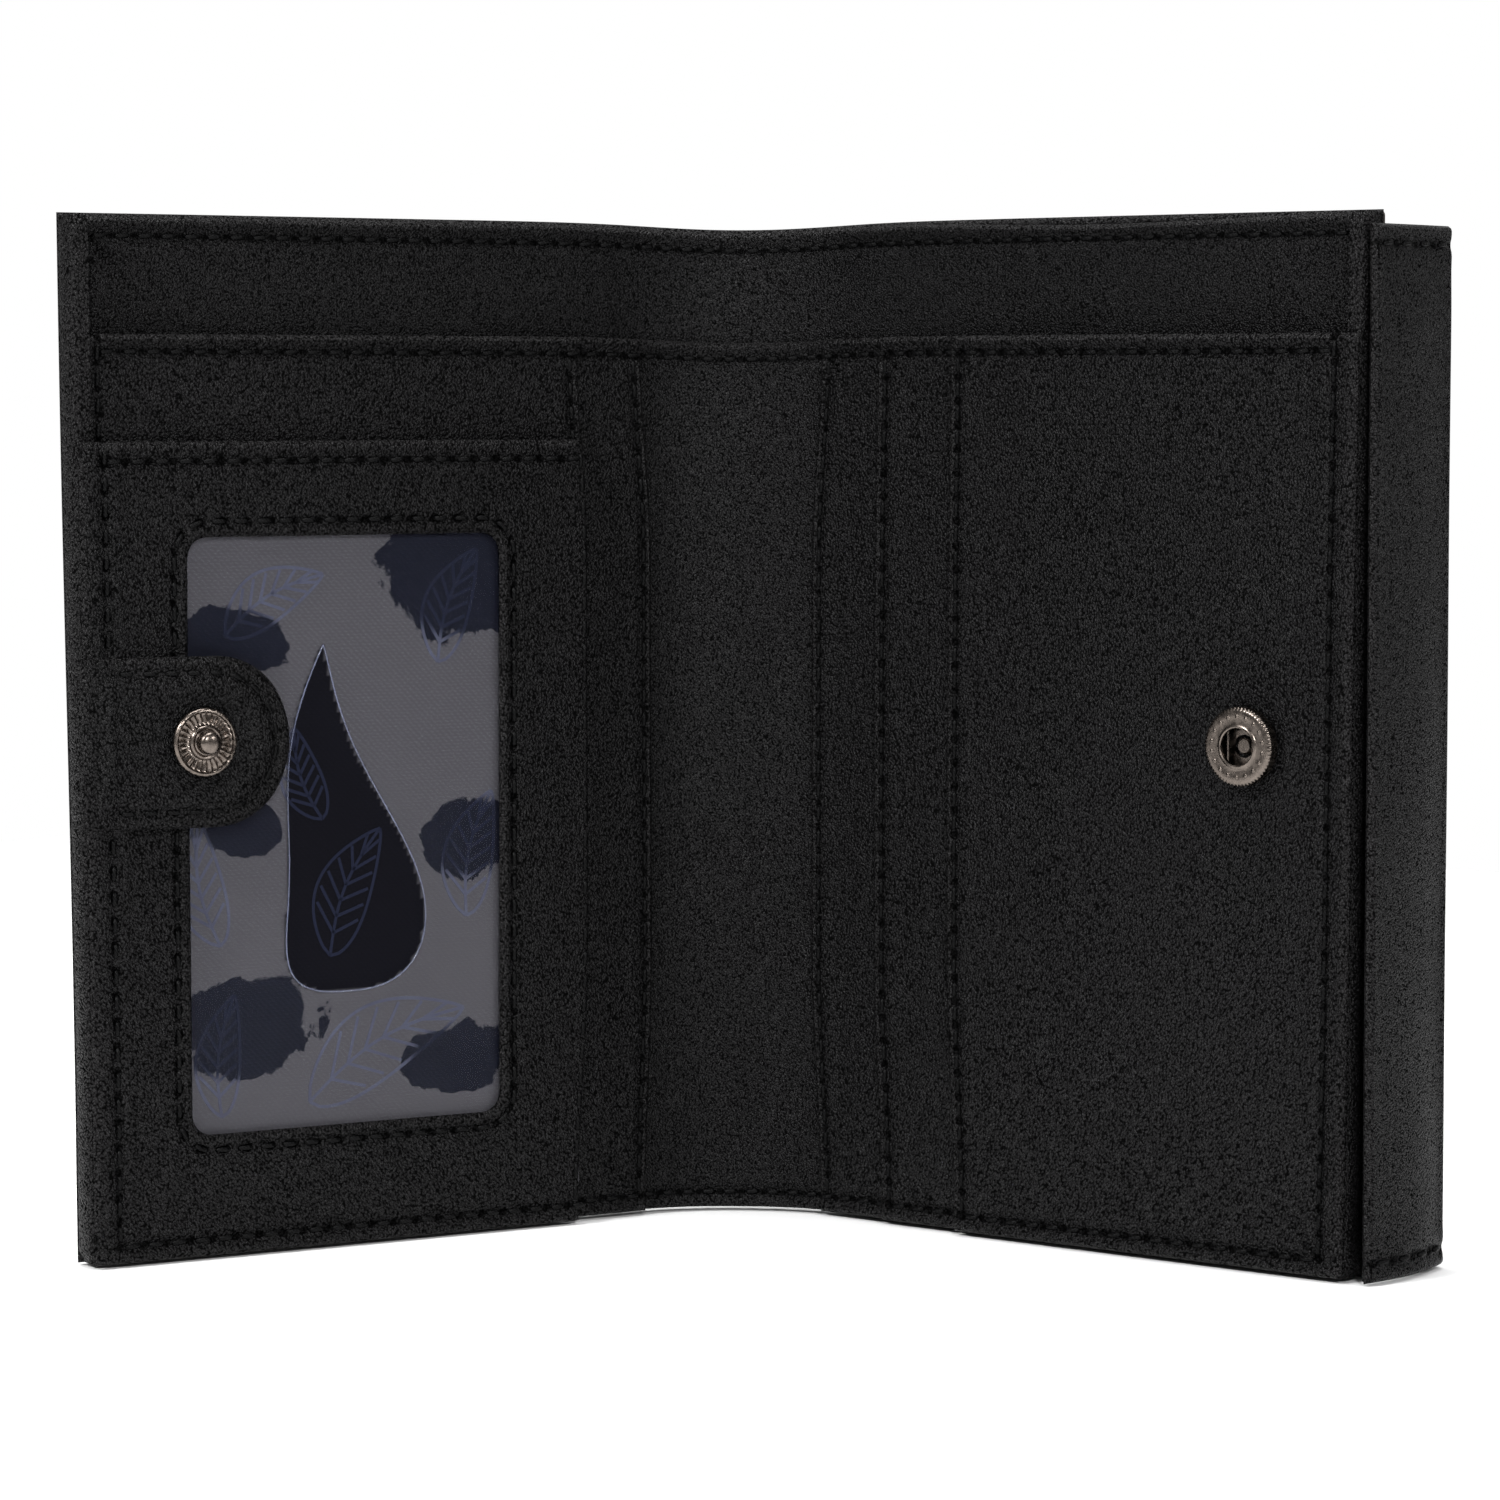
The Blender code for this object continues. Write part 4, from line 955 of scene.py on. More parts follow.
class WALLET_OT_card_pockets(bpy.types.Operator):
    """Add the card pockets, whose turned mouths face the spine."""

    bl_idname = "wallet.card_pockets"
    bl_label = "Card pockets"

    def execute(self, context):
        """Build three pockets on the middle leaf and two on the cover."""
        leather = finish("leather")
        low = 0.25 * MM
        pockets = (
            ("c", "back", "card_pocket_back", 0.35), ("d", "middle", "card_pocket_middle", 0.3),
            ("e", "front", "card_pocket_front", 0.25), ("b", "back", "cover_card_pocket_back", 0.35),
            ("a", "middle", "cover_card_pocket_front", 0.3),
        )
        for key, layer, cad, inset in pockets:
            on_middle = key in "cde"
            mouth = MOUTHS[key]
            edge = inset_from(middle_edge if on_middle else cover_edge, inset * MM)
            left, right = (mouth, edge) if on_middle else (edge, mouth)
            seams = (MOUTH_SEAMS[key], MIDDLE_RIGHT if on_middle else COVER_LEFT,
                     MIDDLE_FOOT if on_middle else COVER_FOOT, MIDDLE_LIP if on_middle else COVER_LIP)
            made = sheet(f"{cad}_leather", on_wallet, left, right, (low, BILL_TOP), DEPTH[layer], leather,
                         "pebbled_leather", seams, "lrtb", 0.6 * MM)
            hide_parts(cad)
            if key in "cb":
                across_fold(made)
            else:
                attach(made, "middle_leaf" if on_middle else "cover_leaf")
        return {"FINISHED"}


def window_distance(s, z):
    """Signed distance to the window's rounded rectangle, negative inside it."""
    middle = (WINDOW[0] + WINDOW[1]) / 2 + FREE_COVER, (WINDOW[2] + WINDOW[3]) / 2
    half = (WINDOW[1] - WINDOW[0]) / 2, (WINDOW[3] - WINDOW[2]) / 2
    x = np.abs(s - middle[0]) - half[0] + WINDOW_RADIUS
    y = np.abs(z - middle[1]) - half[1] + WINDOW_RADIUS
    return np.hypot(np.maximum(x, 0), np.maximum(y, 0)) + np.minimum(np.maximum(x, y), 0) - WINDOW_RADIUS


def ray_reach(distance, centre, angle, most):
    """How far a ray from a centre runs before a signed distance turns positive, by halving."""
    low, high = np.zeros(angle.shape), np.full(angle.shape, most)
    for _ in range(40):
        middle = (low + high) / 2
        outside = distance(centre[0] + middle * np.cos(angle), centre[1] + middle * np.sin(angle)) > 0
        high = np.where(outside, middle, high)
        low = np.where(outside, low, middle)
    return (low + high) / 2


def window_ring(grow, steps=420):
    """Angles and points round the window, grown outwards by a margin."""
    centre = WINDOW_CENTRE
    spin = np.linspace(0, 2 * np.pi, 20001)[:-1]
    reach = ray_reach(lambda s, z: window_distance(s, z) - grow, centre, spin, 0.2)
    ring = np.stack([centre[0] + reach * np.cos(spin), centre[1] + reach * np.sin(spin)], -1)
    length = np.concatenate([[0], np.cumsum(np.linalg.norm(np.diff(ring, axis=0), axis=1))])
    at = np.linspace(0, length[-1], steps, endpoint=False)
    return np.interp(at, length, spin), np.stack([np.interp(at, length, ring[:, i]) for i in (0, 1)], -1)


def flame(steps=240):
    """Outline of the film's cut-out: a candle flame with a round foot and a leaning tip.

    With v the height from 0 to 1, its half width is 9.6 mm times sin(pi v^0.42)^0.9 and
    its middle line swings as -sin(2 pi v) while it leans as v^2.
    """
    turn = np.linspace(0, 2 * np.pi, steps, endpoint=False)
    v = (1 - np.cos(turn)) / 2
    side = np.where(turn < np.pi, 1.0, -1.0)
    width = 9.6 * MM * np.sin(np.pi * np.clip(v, 0, 1) ** 0.42) ** 0.9
    lean = 1.7 * MM * np.sin(2 * np.pi * v) - 3.0 * MM * v**2
    return np.stack([FREE_COVER + 36.0 * MM + side * width + lean, 31.5 * MM + 43.0 * MM * v], -1)


def inside_flame(s, z):
    """Whether points lie inside the cut-out, by counting the crossings of a level ray."""
    ring = flame(120)
    after = np.roll(ring, -1, 0)
    s, z = s[..., None], z[..., None]
    spans = (ring[:, 1] > z) != (after[:, 1] > z)
    step = np.where(np.abs(after[:, 1] - ring[:, 1]) < 1e-12, 1e-12, after[:, 1] - ring[:, 1])
    crossing = ring[:, 0] + (z - ring[:, 1]) * (after[:, 0] - ring[:, 0]) / step
    return (np.count_nonzero(spans & (s < crossing), axis=-1) % 2).astype(float)


def patches(across, up):
    """Field of the print's dark patches, over 0.5 inside them: cones over five ellipses."""
    spots = ((53.0, 83.0, 11.0, 8.0), (20.0, 75.0, 8.0, 4.5), (54.0, 50.0, 7.0, 5.0),
             (21.0, 28.0, 10.0, 6.5), (52.0, 22.0, 7.0, 4.5), (22.0, 52.0, 5.0, 3.0))
    field = np.zeros(np.shape(across))
    for x, y, wide, high in spots:
        field = np.maximum(field, 0.5 + 0.75 * (1 - np.hypot((across - x) / wide, (up - y) / high)))
    return np.clip(field, 0.0, 0.95)


class WALLET_OT_id_window(bpy.types.Operator):
    """Add the ID pocket: printed cloth, clear film with its cut-out, and the framed front."""

    bl_idname = "wallet.id_window"
    bl_label = "ID window"

    def execute(self, context):
        """Build the cloth, its line work, the film, the cut edge and the frame."""
        self.add_cloth()
        self.add_line_work()
        self.add_film()
        self.add_frame()
        return {"FINISHED"}

    def add_cloth(self):
        """The printed cloth behind the window, with the patches' places as an attribute."""
        s = np.linspace(FREE_COVER + 5 * MM, -SPINE - 17 * MM, 140)[None, :]
        z = np.linspace(5 * MM, ID_TOP - 4 * MM, 200)[:, None]
        s, z = s + 0 * z, z + 0 * s
        across, up = (s - FREE_COVER) / MM, z / MM
        patch = patches(across, up)
        low, high = DEPTH["print"]
        # the attribute from inside_flame marks the film's cut-out, where the cloth is darkened as painted
        # shade
        cloth = shell("printed_cloth", on_wallet(s, z, high), on_wallet(s, z, low), finish("printed"),
                      "printed_fabric", patch=patch, ink=inside_flame(s, z))
        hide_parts("id_printed_backing")
        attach(cloth, "cover_leaf")

    def add_line_work(self):
        """Leaf sprigs in outline: a bowed midrib, two edges and side veins as flat ribbons."""
        sprigs = (
            (31.0, 18.0, 24.0, 9.5, 0.45), (19.0, 17.0, 15.0, 6.0, 1.45), (49.0, 72.0, 15.0, 6.5, 1.2),
            (34.0, 36.0, 17.0, 7.5, 1.15), (33.0, 53.0, 12.0, 5.5, 1.9), (53.0, 40.0, 16.0, 7.0, 1.35),
            (20.0, 76.0, 15.0, 6.5, 0.5), (19.0, 38.0, 16.0, 6.5, 1.75),
        )
        t = np.linspace(0, 1, 26)
        ribbons = []
        for x, y, length, width, turn in sprigs:
            run = np.array([math.cos(turn), math.sin(turn)])
            side = np.array([-run[1], run[0]])
            bow = 0.09 * length * np.sin(np.pi * t)
            rib = np.array([x, y]) + (t * length)[:, None] * run + bow[:, None] * side
            swell = (width / 2 * np.sin(np.pi * t**0.8) ** 0.8)[:, None] * side
            ribbons += [rib, rib + swell, rib - swell]
            for k in range(4, 22, 3):
                tip = min(k + 4, 25)
                for sign in (1, -1):
                    end = rib[tip] + sign * 0.86 * swell[tip]
                    part = np.linspace(0, 1, 7)[:, None]
                    ribbons.append(rib[k] * (1 - part) + end * part)
        points, faces, dark, first = [], [], [], 0
        for line in ribbons:
            across, up = line[:, 0], line[:, 1]
            keep = (across > 13) & (across < 59) & (up > 13.5) & (up < 90)
            line = line[keep]
            if len(line) < 2:
                continue
            ahead = np.gradient(line, axis=0)
            ahead = ahead / np.linalg.norm(ahead, axis=1, keepdims=True)
            side = np.stack([-ahead[:, 1], ahead[:, 0]], -1) * 0.2
            loop = np.stack([line - side, line + side, line + side, line - side], 1) * MM
            deep = DEPTH["print"][1] + np.array([0.06, 0.06, -0.03, -0.03]) * MM
            block = on_wallet(FREE_COVER + loop[..., 0], loop[..., 1], deep)
            # the lines are darkened inside the film's cut-out as painted shade, and over the navy patches as
            # print
            hidden = inside_flame(FREE_COVER + loop[..., 0], loop[..., 1])
            dark.append(np.maximum(hidden, smooth(0.42, 0.6, patches(*(loop.T / MM)).T)).ravel())
            points.append(block.reshape(-1, 3))
            faces.append(grid_faces(len(line), 4, first, True))
            caps = first + np.array([[0, 1, 2, 3], [4 * len(line) - 1, 4 * len(line) - 2, 4 * len(line) - 3,
                                                    4 * len(line) - 4]])
            faces.append(caps)
            first += 4 * len(line)
        work = build("printed_leaf_lines", np.concatenate(points), np.concatenate(faces), finish("line"),
                     "printed_fabric", weld=False, ink=np.concatenate(dark))
        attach(work, "cover_leaf")

    def add_film(self):
        """The clear film: a sheet from the cut-out's outline to beyond the window."""
        hole = flame()
        centre = hole.mean(0)
        _, outer = window_ring(2.6 * MM, 2000)
        turn = np.unwrap(np.arctan2(outer[:, 1] - centre[1], outer[:, 0] - centre[0]))
        want = np.unwrap(np.arctan2(hole[:, 1] - centre[1], hole[:, 0] - centre[0]))
        order = np.argsort(np.mod(turn, 2 * np.pi))
        base = np.mod(turn, 2 * np.pi)[order]
        rim_points = np.stack([np.interp(np.mod(want, 2 * np.pi), base, outer[order, i], period=2 * np.pi)
                               for i in (0, 1)], -1)
        t = np.linspace(0, 1, 30)[:, None, None]
        flat = hole * (1 - t) + rim_points * t
        low, high = DEPTH["film"]
        film = shell("clear_window_film", on_wallet(flat[..., 0], flat[..., 1], high - 0.05 * MM),
                     on_wallet(flat[..., 0], flat[..., 1], low), finish("vinyl"), "clear_vinyl", close=True)
        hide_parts("id_window_film")
        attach(film, "cover_leaf")
        # the cut edge's pale colour is a painted highlight along the cut-out's rim
        edge = tube("film_cut_edge", on_wallet(hole[:, 0], hole[:, 1], high - 0.08 * MM), 0.1 * MM,
                    finish("cut"), "clear_vinyl", close=True)
        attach(edge, "cover_leaf")

    def seams_of(self, s, z, inside, around):
        """Seam attributes of the frame: its border seams, or the one round the window."""
        found = seam_map(s, z, (COVER_LEFT, ID_SEAM, COVER_FOOT))
        ring = (inside - 1.9 * MM) / MM
        total = float(around[-1])
        count = around * int(total / PITCH) / total + 0.0 * s
        closer = np.abs(ring) < np.abs(found["seam"])
        return {"seam": np.where(closer, ring, found["seam"]),
                "stitch": np.where(closer, count, found["stitch"])}

    def add_frame(self):
        """The framed front: a leather sheet round the window, turned in at the opening."""
        spin, _ = window_ring(0.0)
        centre = WINDOW_CENTRE
        low_z, high_z = 0.2 * MM, ID_TOP

        def border(s, z):
            """Signed distance past the panel's own four edges."""
            left = cover_edge(z, 0.2 * MM) - s
            right = s - (MOUTHS["a"](z) - 0.7 * MM)
            return np.maximum(np.maximum(left, right), np.maximum(low_z - z, z - high_z))

        corners = [(cover_edge(low_z, 0.2 * MM), low_z), (cover_edge(high_z, 0.2 * MM), high_z),
                   (MOUTHS["a"](low_z) - 0.7 * MM, low_z), (MOUTHS["a"](high_z) - 0.7 * MM, high_z)]
        extra = np.mod([math.atan2(z - centre[1], s - centre[0]) for s, z in corners], 2 * np.pi)
        spin = np.sort(np.concatenate([np.mod(spin, 2 * np.pi), extra]))
        near = ray_reach(window_distance, centre, spin, 0.2)
        far = ray_reach(border, centre, spin, 0.3)
        t = spread(15 * MM, (0.0, 1.9 * MM, 12 * MM, 15 * MM), 0.5 * MM, 0.2 * MM)[:, None]
        reach = near + (far - near) * t
        s = centre[0] + reach * np.cos(spin)
        z = centre[1] + reach * np.sin(spin)
        inside, outside = window_distance(s, z), -border(s, z)
        inside = np.where(t == 0, 0.0, np.maximum(inside, 0))
        outside = np.where(t == 1, 0.0, np.maximum(outside, 0))
        roll = 0.75 * MM
        fall = np.sqrt(np.clip(1 - (1 - np.clip(np.minimum(inside, outside) / roll, 0, 1)) ** 2, 0, 1))
        around = np.concatenate([[0], np.cumsum(np.hypot(*np.diff(
            np.stack([centre[0] + near * np.cos(spin), centre[1] + near * np.sin(spin)]), axis=1)))])
        holes = 0.55 + 0.45 * np.cos(2 * np.pi * around / PITCH)[None, :]
        groove = -0.26 * MM * np.exp(-(((inside - 1.9 * MM) / (0.5 * MM)) ** 2)) * holes
        bead = 0.16 * MM * np.exp(-(((inside - 0.8 * MM) / (0.6 * MM)) ** 2))
        relief = groove + bead + puckers(s, z, (COVER_LEFT, ID_SEAM, COVER_FOOT))
        low, high = DEPTH["id"]
        middle, half = (low + high) / 2, (high - low) / 2
        worn = np.exp(-np.minimum(inside, outside) / (0.9 * MM))
        panel = shell("id_pocket_leather", on_wallet(s, z, middle + half * fall + relief * fall),
                      on_wallet(s, z, middle - half * fall), finish("leather"), "pebbled_leather",
                      close=True, edge=worn, **self.seams_of(s, z, inside, around))
        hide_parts("id_pocket_front")
        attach(panel, "cover_leaf")
        _, ring = window_ring(1.9 * MM, 4000)
        length = np.concatenate([[0], np.cumsum(np.linalg.norm(np.diff(ring, axis=0), axis=1))])
        total = length[-1]
        seam = ring_stitches("window_stitches", ring, length, total, DEPTH["id"][1], under_rivet)
        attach(seam, "cover_leaf")


def under_rivet(s, z, d):
    """Place on the wallet, pressed up to 0.5 mm into the leather where the stud's rivet lies on it."""
    away = np.hypot(s - FREE_COVER - STUD_FROM_EDGE, z - SNAP_Z)
    return on_wallet(s, z, d - 0.5 * MM * np.exp(-((away / (6 * MM)) ** 4)))


def ring_stitches(name, ring, length, total, depth, place=on_wallet):
    """Stitches that follow a closed outline, worked as one straight seam bent round it."""
    def bent(s, z, d):
        """Place at a length along the outline."""
        at = np.mod(s, total)
        x = np.interp(at, length, ring[:, 0])
        y = np.interp(at, length, ring[:, 1])
        return place(x, y, d)
    return stitches(name, bent, ((False, constant(0.0), 0.0, float(total)),), depth, finish("thread"))


class WALLET_OT_closing_tab(bpy.types.Operator):
    """Add the closing tab, a leather tongue sewn on at the cover's edge."""

    bl_idname = "wallet.closing_tab"
    bl_label = "Closing tab"

    def execute(self, context):
        """Build the tongue and its stitches."""
        root, tip, half_height = TAB
        face = TAB_FACE

        def half(e):
            """Half height of the tongue: straight, then a half round at its tip."""
            over = np.clip((e - (tip - half_height)) / half_height, 0, 1)
            return half_height * np.sqrt(np.clip(1 - over**2.3, 0, 1))

        a = 1 - (1 - np.linspace(0, 1, 90)) ** 1.5
        a = np.concatenate([np.linspace(0, 0.035, 8)[:-1], a[a >= 0.035]])
        e = root + a[None, :] * (tip - root)
        b = np.sin(np.linspace(-np.pi / 2, np.pi / 2, 81))[:, None]
        b = 0.45 * b + 0.55 * np.linspace(-1, 1, 81)[:, None]
        z = SNAP_Z + b * half(e)
        e = e + 0 * b
        arc = np.where(e > tip - half_height, half_height - np.hypot(e - (tip - half_height), z - SNAP_Z),
                       half_height - np.abs(z - SNAP_Z))
        distance = np.clip(np.minimum(e - root, np.maximum(arc, 0)), 0, None)
        rim_mask = (np.abs(b) > 0.9999) | (a[None, :] > 0.9999)
        distance = np.where(rim_mask, 0.0, distance)
        fall = np.sqrt(np.clip(1 - (1 - np.clip(distance / (0.9 * MM), 0, 1)) ** 2, 0, 1))
        seam = np.exp(-(((distance - 2.0 * MM) / (0.5 * MM)) ** 2)) * (e > root + 3 * MM)
        swell = 0.45 * MM * np.exp(-(((distance - 3.8 * MM) / (1.6 * MM)) ** 2))
        press = -0.45 * MM * np.exp(-((np.hypot(e - STUD_FROM_EDGE, z - SNAP_Z) / (5.4 * MM)) ** 4))
        sewn = -0.25 * MM * np.exp(-(((e - EDGE_SEAM - 0.6 * MM) / (0.6 * MM)) ** 2))
        droop = -TAB_DROOP * smooth(tip - 9 * MM, root, e)
        front = face + droop + (-0.22 * MM * seam + swell + press + sewn) * fall - 0.65 * MM * (1 - fall)
        back = face + droop - 1.3 * MM + 0.65 * MM * (1 - fall)
        s = FREE_COVER + e + taper(SNAP_Z)
        worn = np.exp(-distance / (0.9 * MM))
        tongue = shell("closing_tab_leather", on_wallet(s, z, front), on_wallet(s, z, back),
                       finish("leather"), "pebbled_leather", edge=worn)
        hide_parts("tab_front_leather", "tab_back_leather", "tab_root")
        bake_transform(tongue)
        inset = 2.0 * MM
        straight = np.array([root + 4.2 * MM, tip - half_height])
        arc_angle = np.linspace(-np.pi / 2, np.pi / 2, 90)
        centre = np.array([tip - half_height, SNAP_Z])
        small = half_height - inset
        lower = np.stack([np.linspace(*straight, 40), np.full(40, SNAP_Z - small)], -1)
        curve = centre + small * np.stack([np.cos(arc_angle), np.sin(arc_angle)], -1)
        upper = np.stack([np.linspace(*straight[::-1], 40), np.full(40, SNAP_Z + small)], -1)
        line = np.concatenate([lower, curve[1:], upper[1:]])
        line[:, 0] += FREE_COVER + float(taper(SNAP_Z))
        length = np.concatenate([[0], np.cumsum(np.linalg.norm(np.diff(line, axis=0), axis=1))])

        def along_tab(s, z, d):
            """Place at a length along the seam's line, on the drooping tongue."""
            at = np.clip(s, 0, length[-1])
            x = np.interp(at, length, line[:, 0])
            return on_wallet(x, np.interp(at, length, line[:, 1]),
                             d - TAB_DROOP * smooth(tip - 9 * MM, root, x - FREE_COVER))

        seam = stitches("tab_stitches", along_tab, ((False, constant(0.0), 0.0, float(length[-1])),),
                        face - 0.1 * MM, finish("thread"), pitch=2.75 * MM)
        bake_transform(seam)
        reach = half_height - 1.2 * MM
        sewn_down = (True, inset_from(cover_edge, EDGE_SEAM + 0.6 * MM), SNAP_Z - reach, SNAP_Z + reach)
        cross = stitches("tab_root_stitches", on_wallet, (sewn_down,), face - TAB_DROOP - 0.25 * MM,
                         finish("thread"))
        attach(cross, "cover_leaf")
        return {"FINISHED"}


class WALLET_OT_snap(bpy.types.Operator):
    """Add the snap: a fluted stud on the tab and a knurled socket on the middle leaf."""

    bl_idname = "wallet.snap"
    bl_label = "Snap"

    def execute(self, context):
        """Build stud and socket, and finish the rivets and the spring of the frame."""
        metal = finish("metal")
        for name in ("socket_spring", "socket_rivet", "stud_rivet"):
            target = frame["nodes"][name]
            target.data.materials.clear()
            target.data.materials.append(metal)
        box = [np.array(corner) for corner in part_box("stud_body")]
        centre = (box[0] + box[1]) / 2
        axis = turned_point((0, 0), 2 * FOLD, 0, -1)
        axis = np.array([axis[0], axis[1], 0.0])
        base = centre - axis * 1.3 * MM
        steps = 112

        def flutes(radius, angle, height):
            """Raised ribs between the rim and the collar, 28 of them."""
            band = np.exp(-(((radius - 2.95 * MM) / (0.62 * MM)) ** 4)) * (height > 0.3 * MM)
            return radius, height + 0.16 * MM * band * np.clip(1.6 * np.cos(28 * angle), -1, 1)

        profile = [(0, 0), (3.9, 0), (4.15, .12), (4.22, .35), (4.15, .62), (4.0, .78), (3.82, .82),
                   (3.66, .72),
                   (3.56, .5), (3.45, .45), (3.3, .45), (3.05, .46), (2.8, .47), (2.55, .48), (2.35, .5),
                   (2.2, .56), (2.08, .78), (1.98, .95), (1.85, 1.02), (1.68, .98), (1.55, .92), (1.42, 1.0),
                   (1.36, 1.25), (1.4, 1.6), (1.42, 1.85), (1.36, 2.12), (1.2, 2.36), (.95, 2.52), (.6, 2.62),
                   (.3, 2.66), (0, 2.67)]
        stud = lathe("stud_pressing", np.array(profile) * MM, base, axis, metal, "gunmetal", steps, flutes)
        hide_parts("stud_body")
        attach(stud, "closing_tab")
        base = np.array([SOCKET[0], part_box("socket_body")[1][1], SOCKET[2]])

        def knurl(radius, angle, height):
            """A coin edge of 60 teeth on the outer wall."""
            band = smooth(4.5 * MM, 4.7 * MM, radius)
            return radius + 0.07 * MM * band * np.clip(2 * np.cos(60 * angle), -1, 1), height

        profile = [(1.4, 0), (4.2, 0), (4.6, .12), (4.72, .4), (4.74, .8), (4.74, 1.35), (4.68, 1.7),
                   (4.5, 1.9),
                   (4.2, 1.97), (3.6, 1.95), (3.0, 1.9), (2.75, 1.92), (2.6, 2.06), (2.42, 2.1), (2.28, 2.0),
                   (2.22, 1.75), (2.3, 1.6), (3.3, 1.55), (3.4, 1.3), (3.4, .5), (3.3, .32),
                   (1.4, .3), (1.4, 0)]
        ring = lathe("socket_pressing", np.array(profile) * MM, base, (0, -1, 0), metal, "gunmetal", 240,
                     knurl)
        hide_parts("socket_body")
        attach(ring, "middle_leaf")
        dots = []
        for k in range(18):
            turn = 2 * math.pi * (k + 0.5) / 18
            dots.append((base[0] + 3.62 * MM * math.cos(turn), base[2] + 3.62 * MM * math.sin(turn)))
        self.add_dots(np.array(dots), base[1] - 1.95 * MM, metal)
        return {"FINISHED"}

    def add_dots(self, centres, y, metal):
        """A plain ring of small raised dots, each a low dome of two rings and a top."""
        turn = 2 * np.pi * np.arange(10) / 10
        rows = [(0.30, -0.05), (0.26, 0.05), (0.15, 0.11), (0.0, 0.13)]
        points, faces = [], []
        for k, (x, z) in enumerate(centres):
            for radius, rise in rows:
                points.append(np.stack([x + radius * MM * np.cos(turn), np.full(10, y - rise * MM),
                                        z + radius * MM * np.sin(turn)], -1))
            faces.append(grid_faces(4, 10, 40 * k, True))
            faces.append(40 * k + np.array([[0, 3, 2, 1], [0, 5, 4, 3], [0, 7, 6, 5], [0, 9, 8, 7]]))
        dots = build("socket_dots", np.concatenate(points), np.concatenate(faces), metal, "gunmetal")
        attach(dots, "middle_leaf")


class WALLET_OT_coin_strip(bpy.types.Operator):
    """Add the soft strip that carries the coin leaf round the middle leaf's edge."""

    bl_idname = "wallet.coin_strip"
    bl_label = "Coin strip"

    def execute(self, context):
        """Build the strip in two halves, each baked in place as it lies."""
        middle = STRIP / 2
        rows = (STRIP_TOP - 2.3 * MM, 2.4 * MM)
        seams_near = tuple((False, constant(row), 1 * MM, middle) for row in rows)
        seams_far = tuple((False, constant(row), middle, STRIP - 0.6 * MM) for row in rows)

        def inward(x, z, d):
            """Place on the strip, with depth counted towards its inner face."""
            return on_strip(x, z, -d)

        depth = (-1.15 * MM, -0.05 * MM)
        near = sheet("coin_strip_near", inward, constant(0.5 * MM), constant(middle), (0.0, STRIP_TOP), depth,
                     finish("lining"), "lining_leather", seams_near, "ltb", 0.7 * MM)
        far = sheet("coin_strip_far", inward, constant(middle), constant(STRIP - 0.15 * MM), (0.0, STRIP_TOP),
                    depth, finish("lining"), "lining_leather", seams_far, "rtb", 0.7 * MM)
        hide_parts("coin_strip_outer")
        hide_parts("coin_strip_lining")
        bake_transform(near)
        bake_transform(far)
        for name, seams in (("strip_stitches_near", seams_near), ("strip_stitches_far", seams_far)):
            row = stitches(name, inward, seams, 0.0, finish("thread"))
            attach(row, "coin_spine")
        return {"FINISHED"}


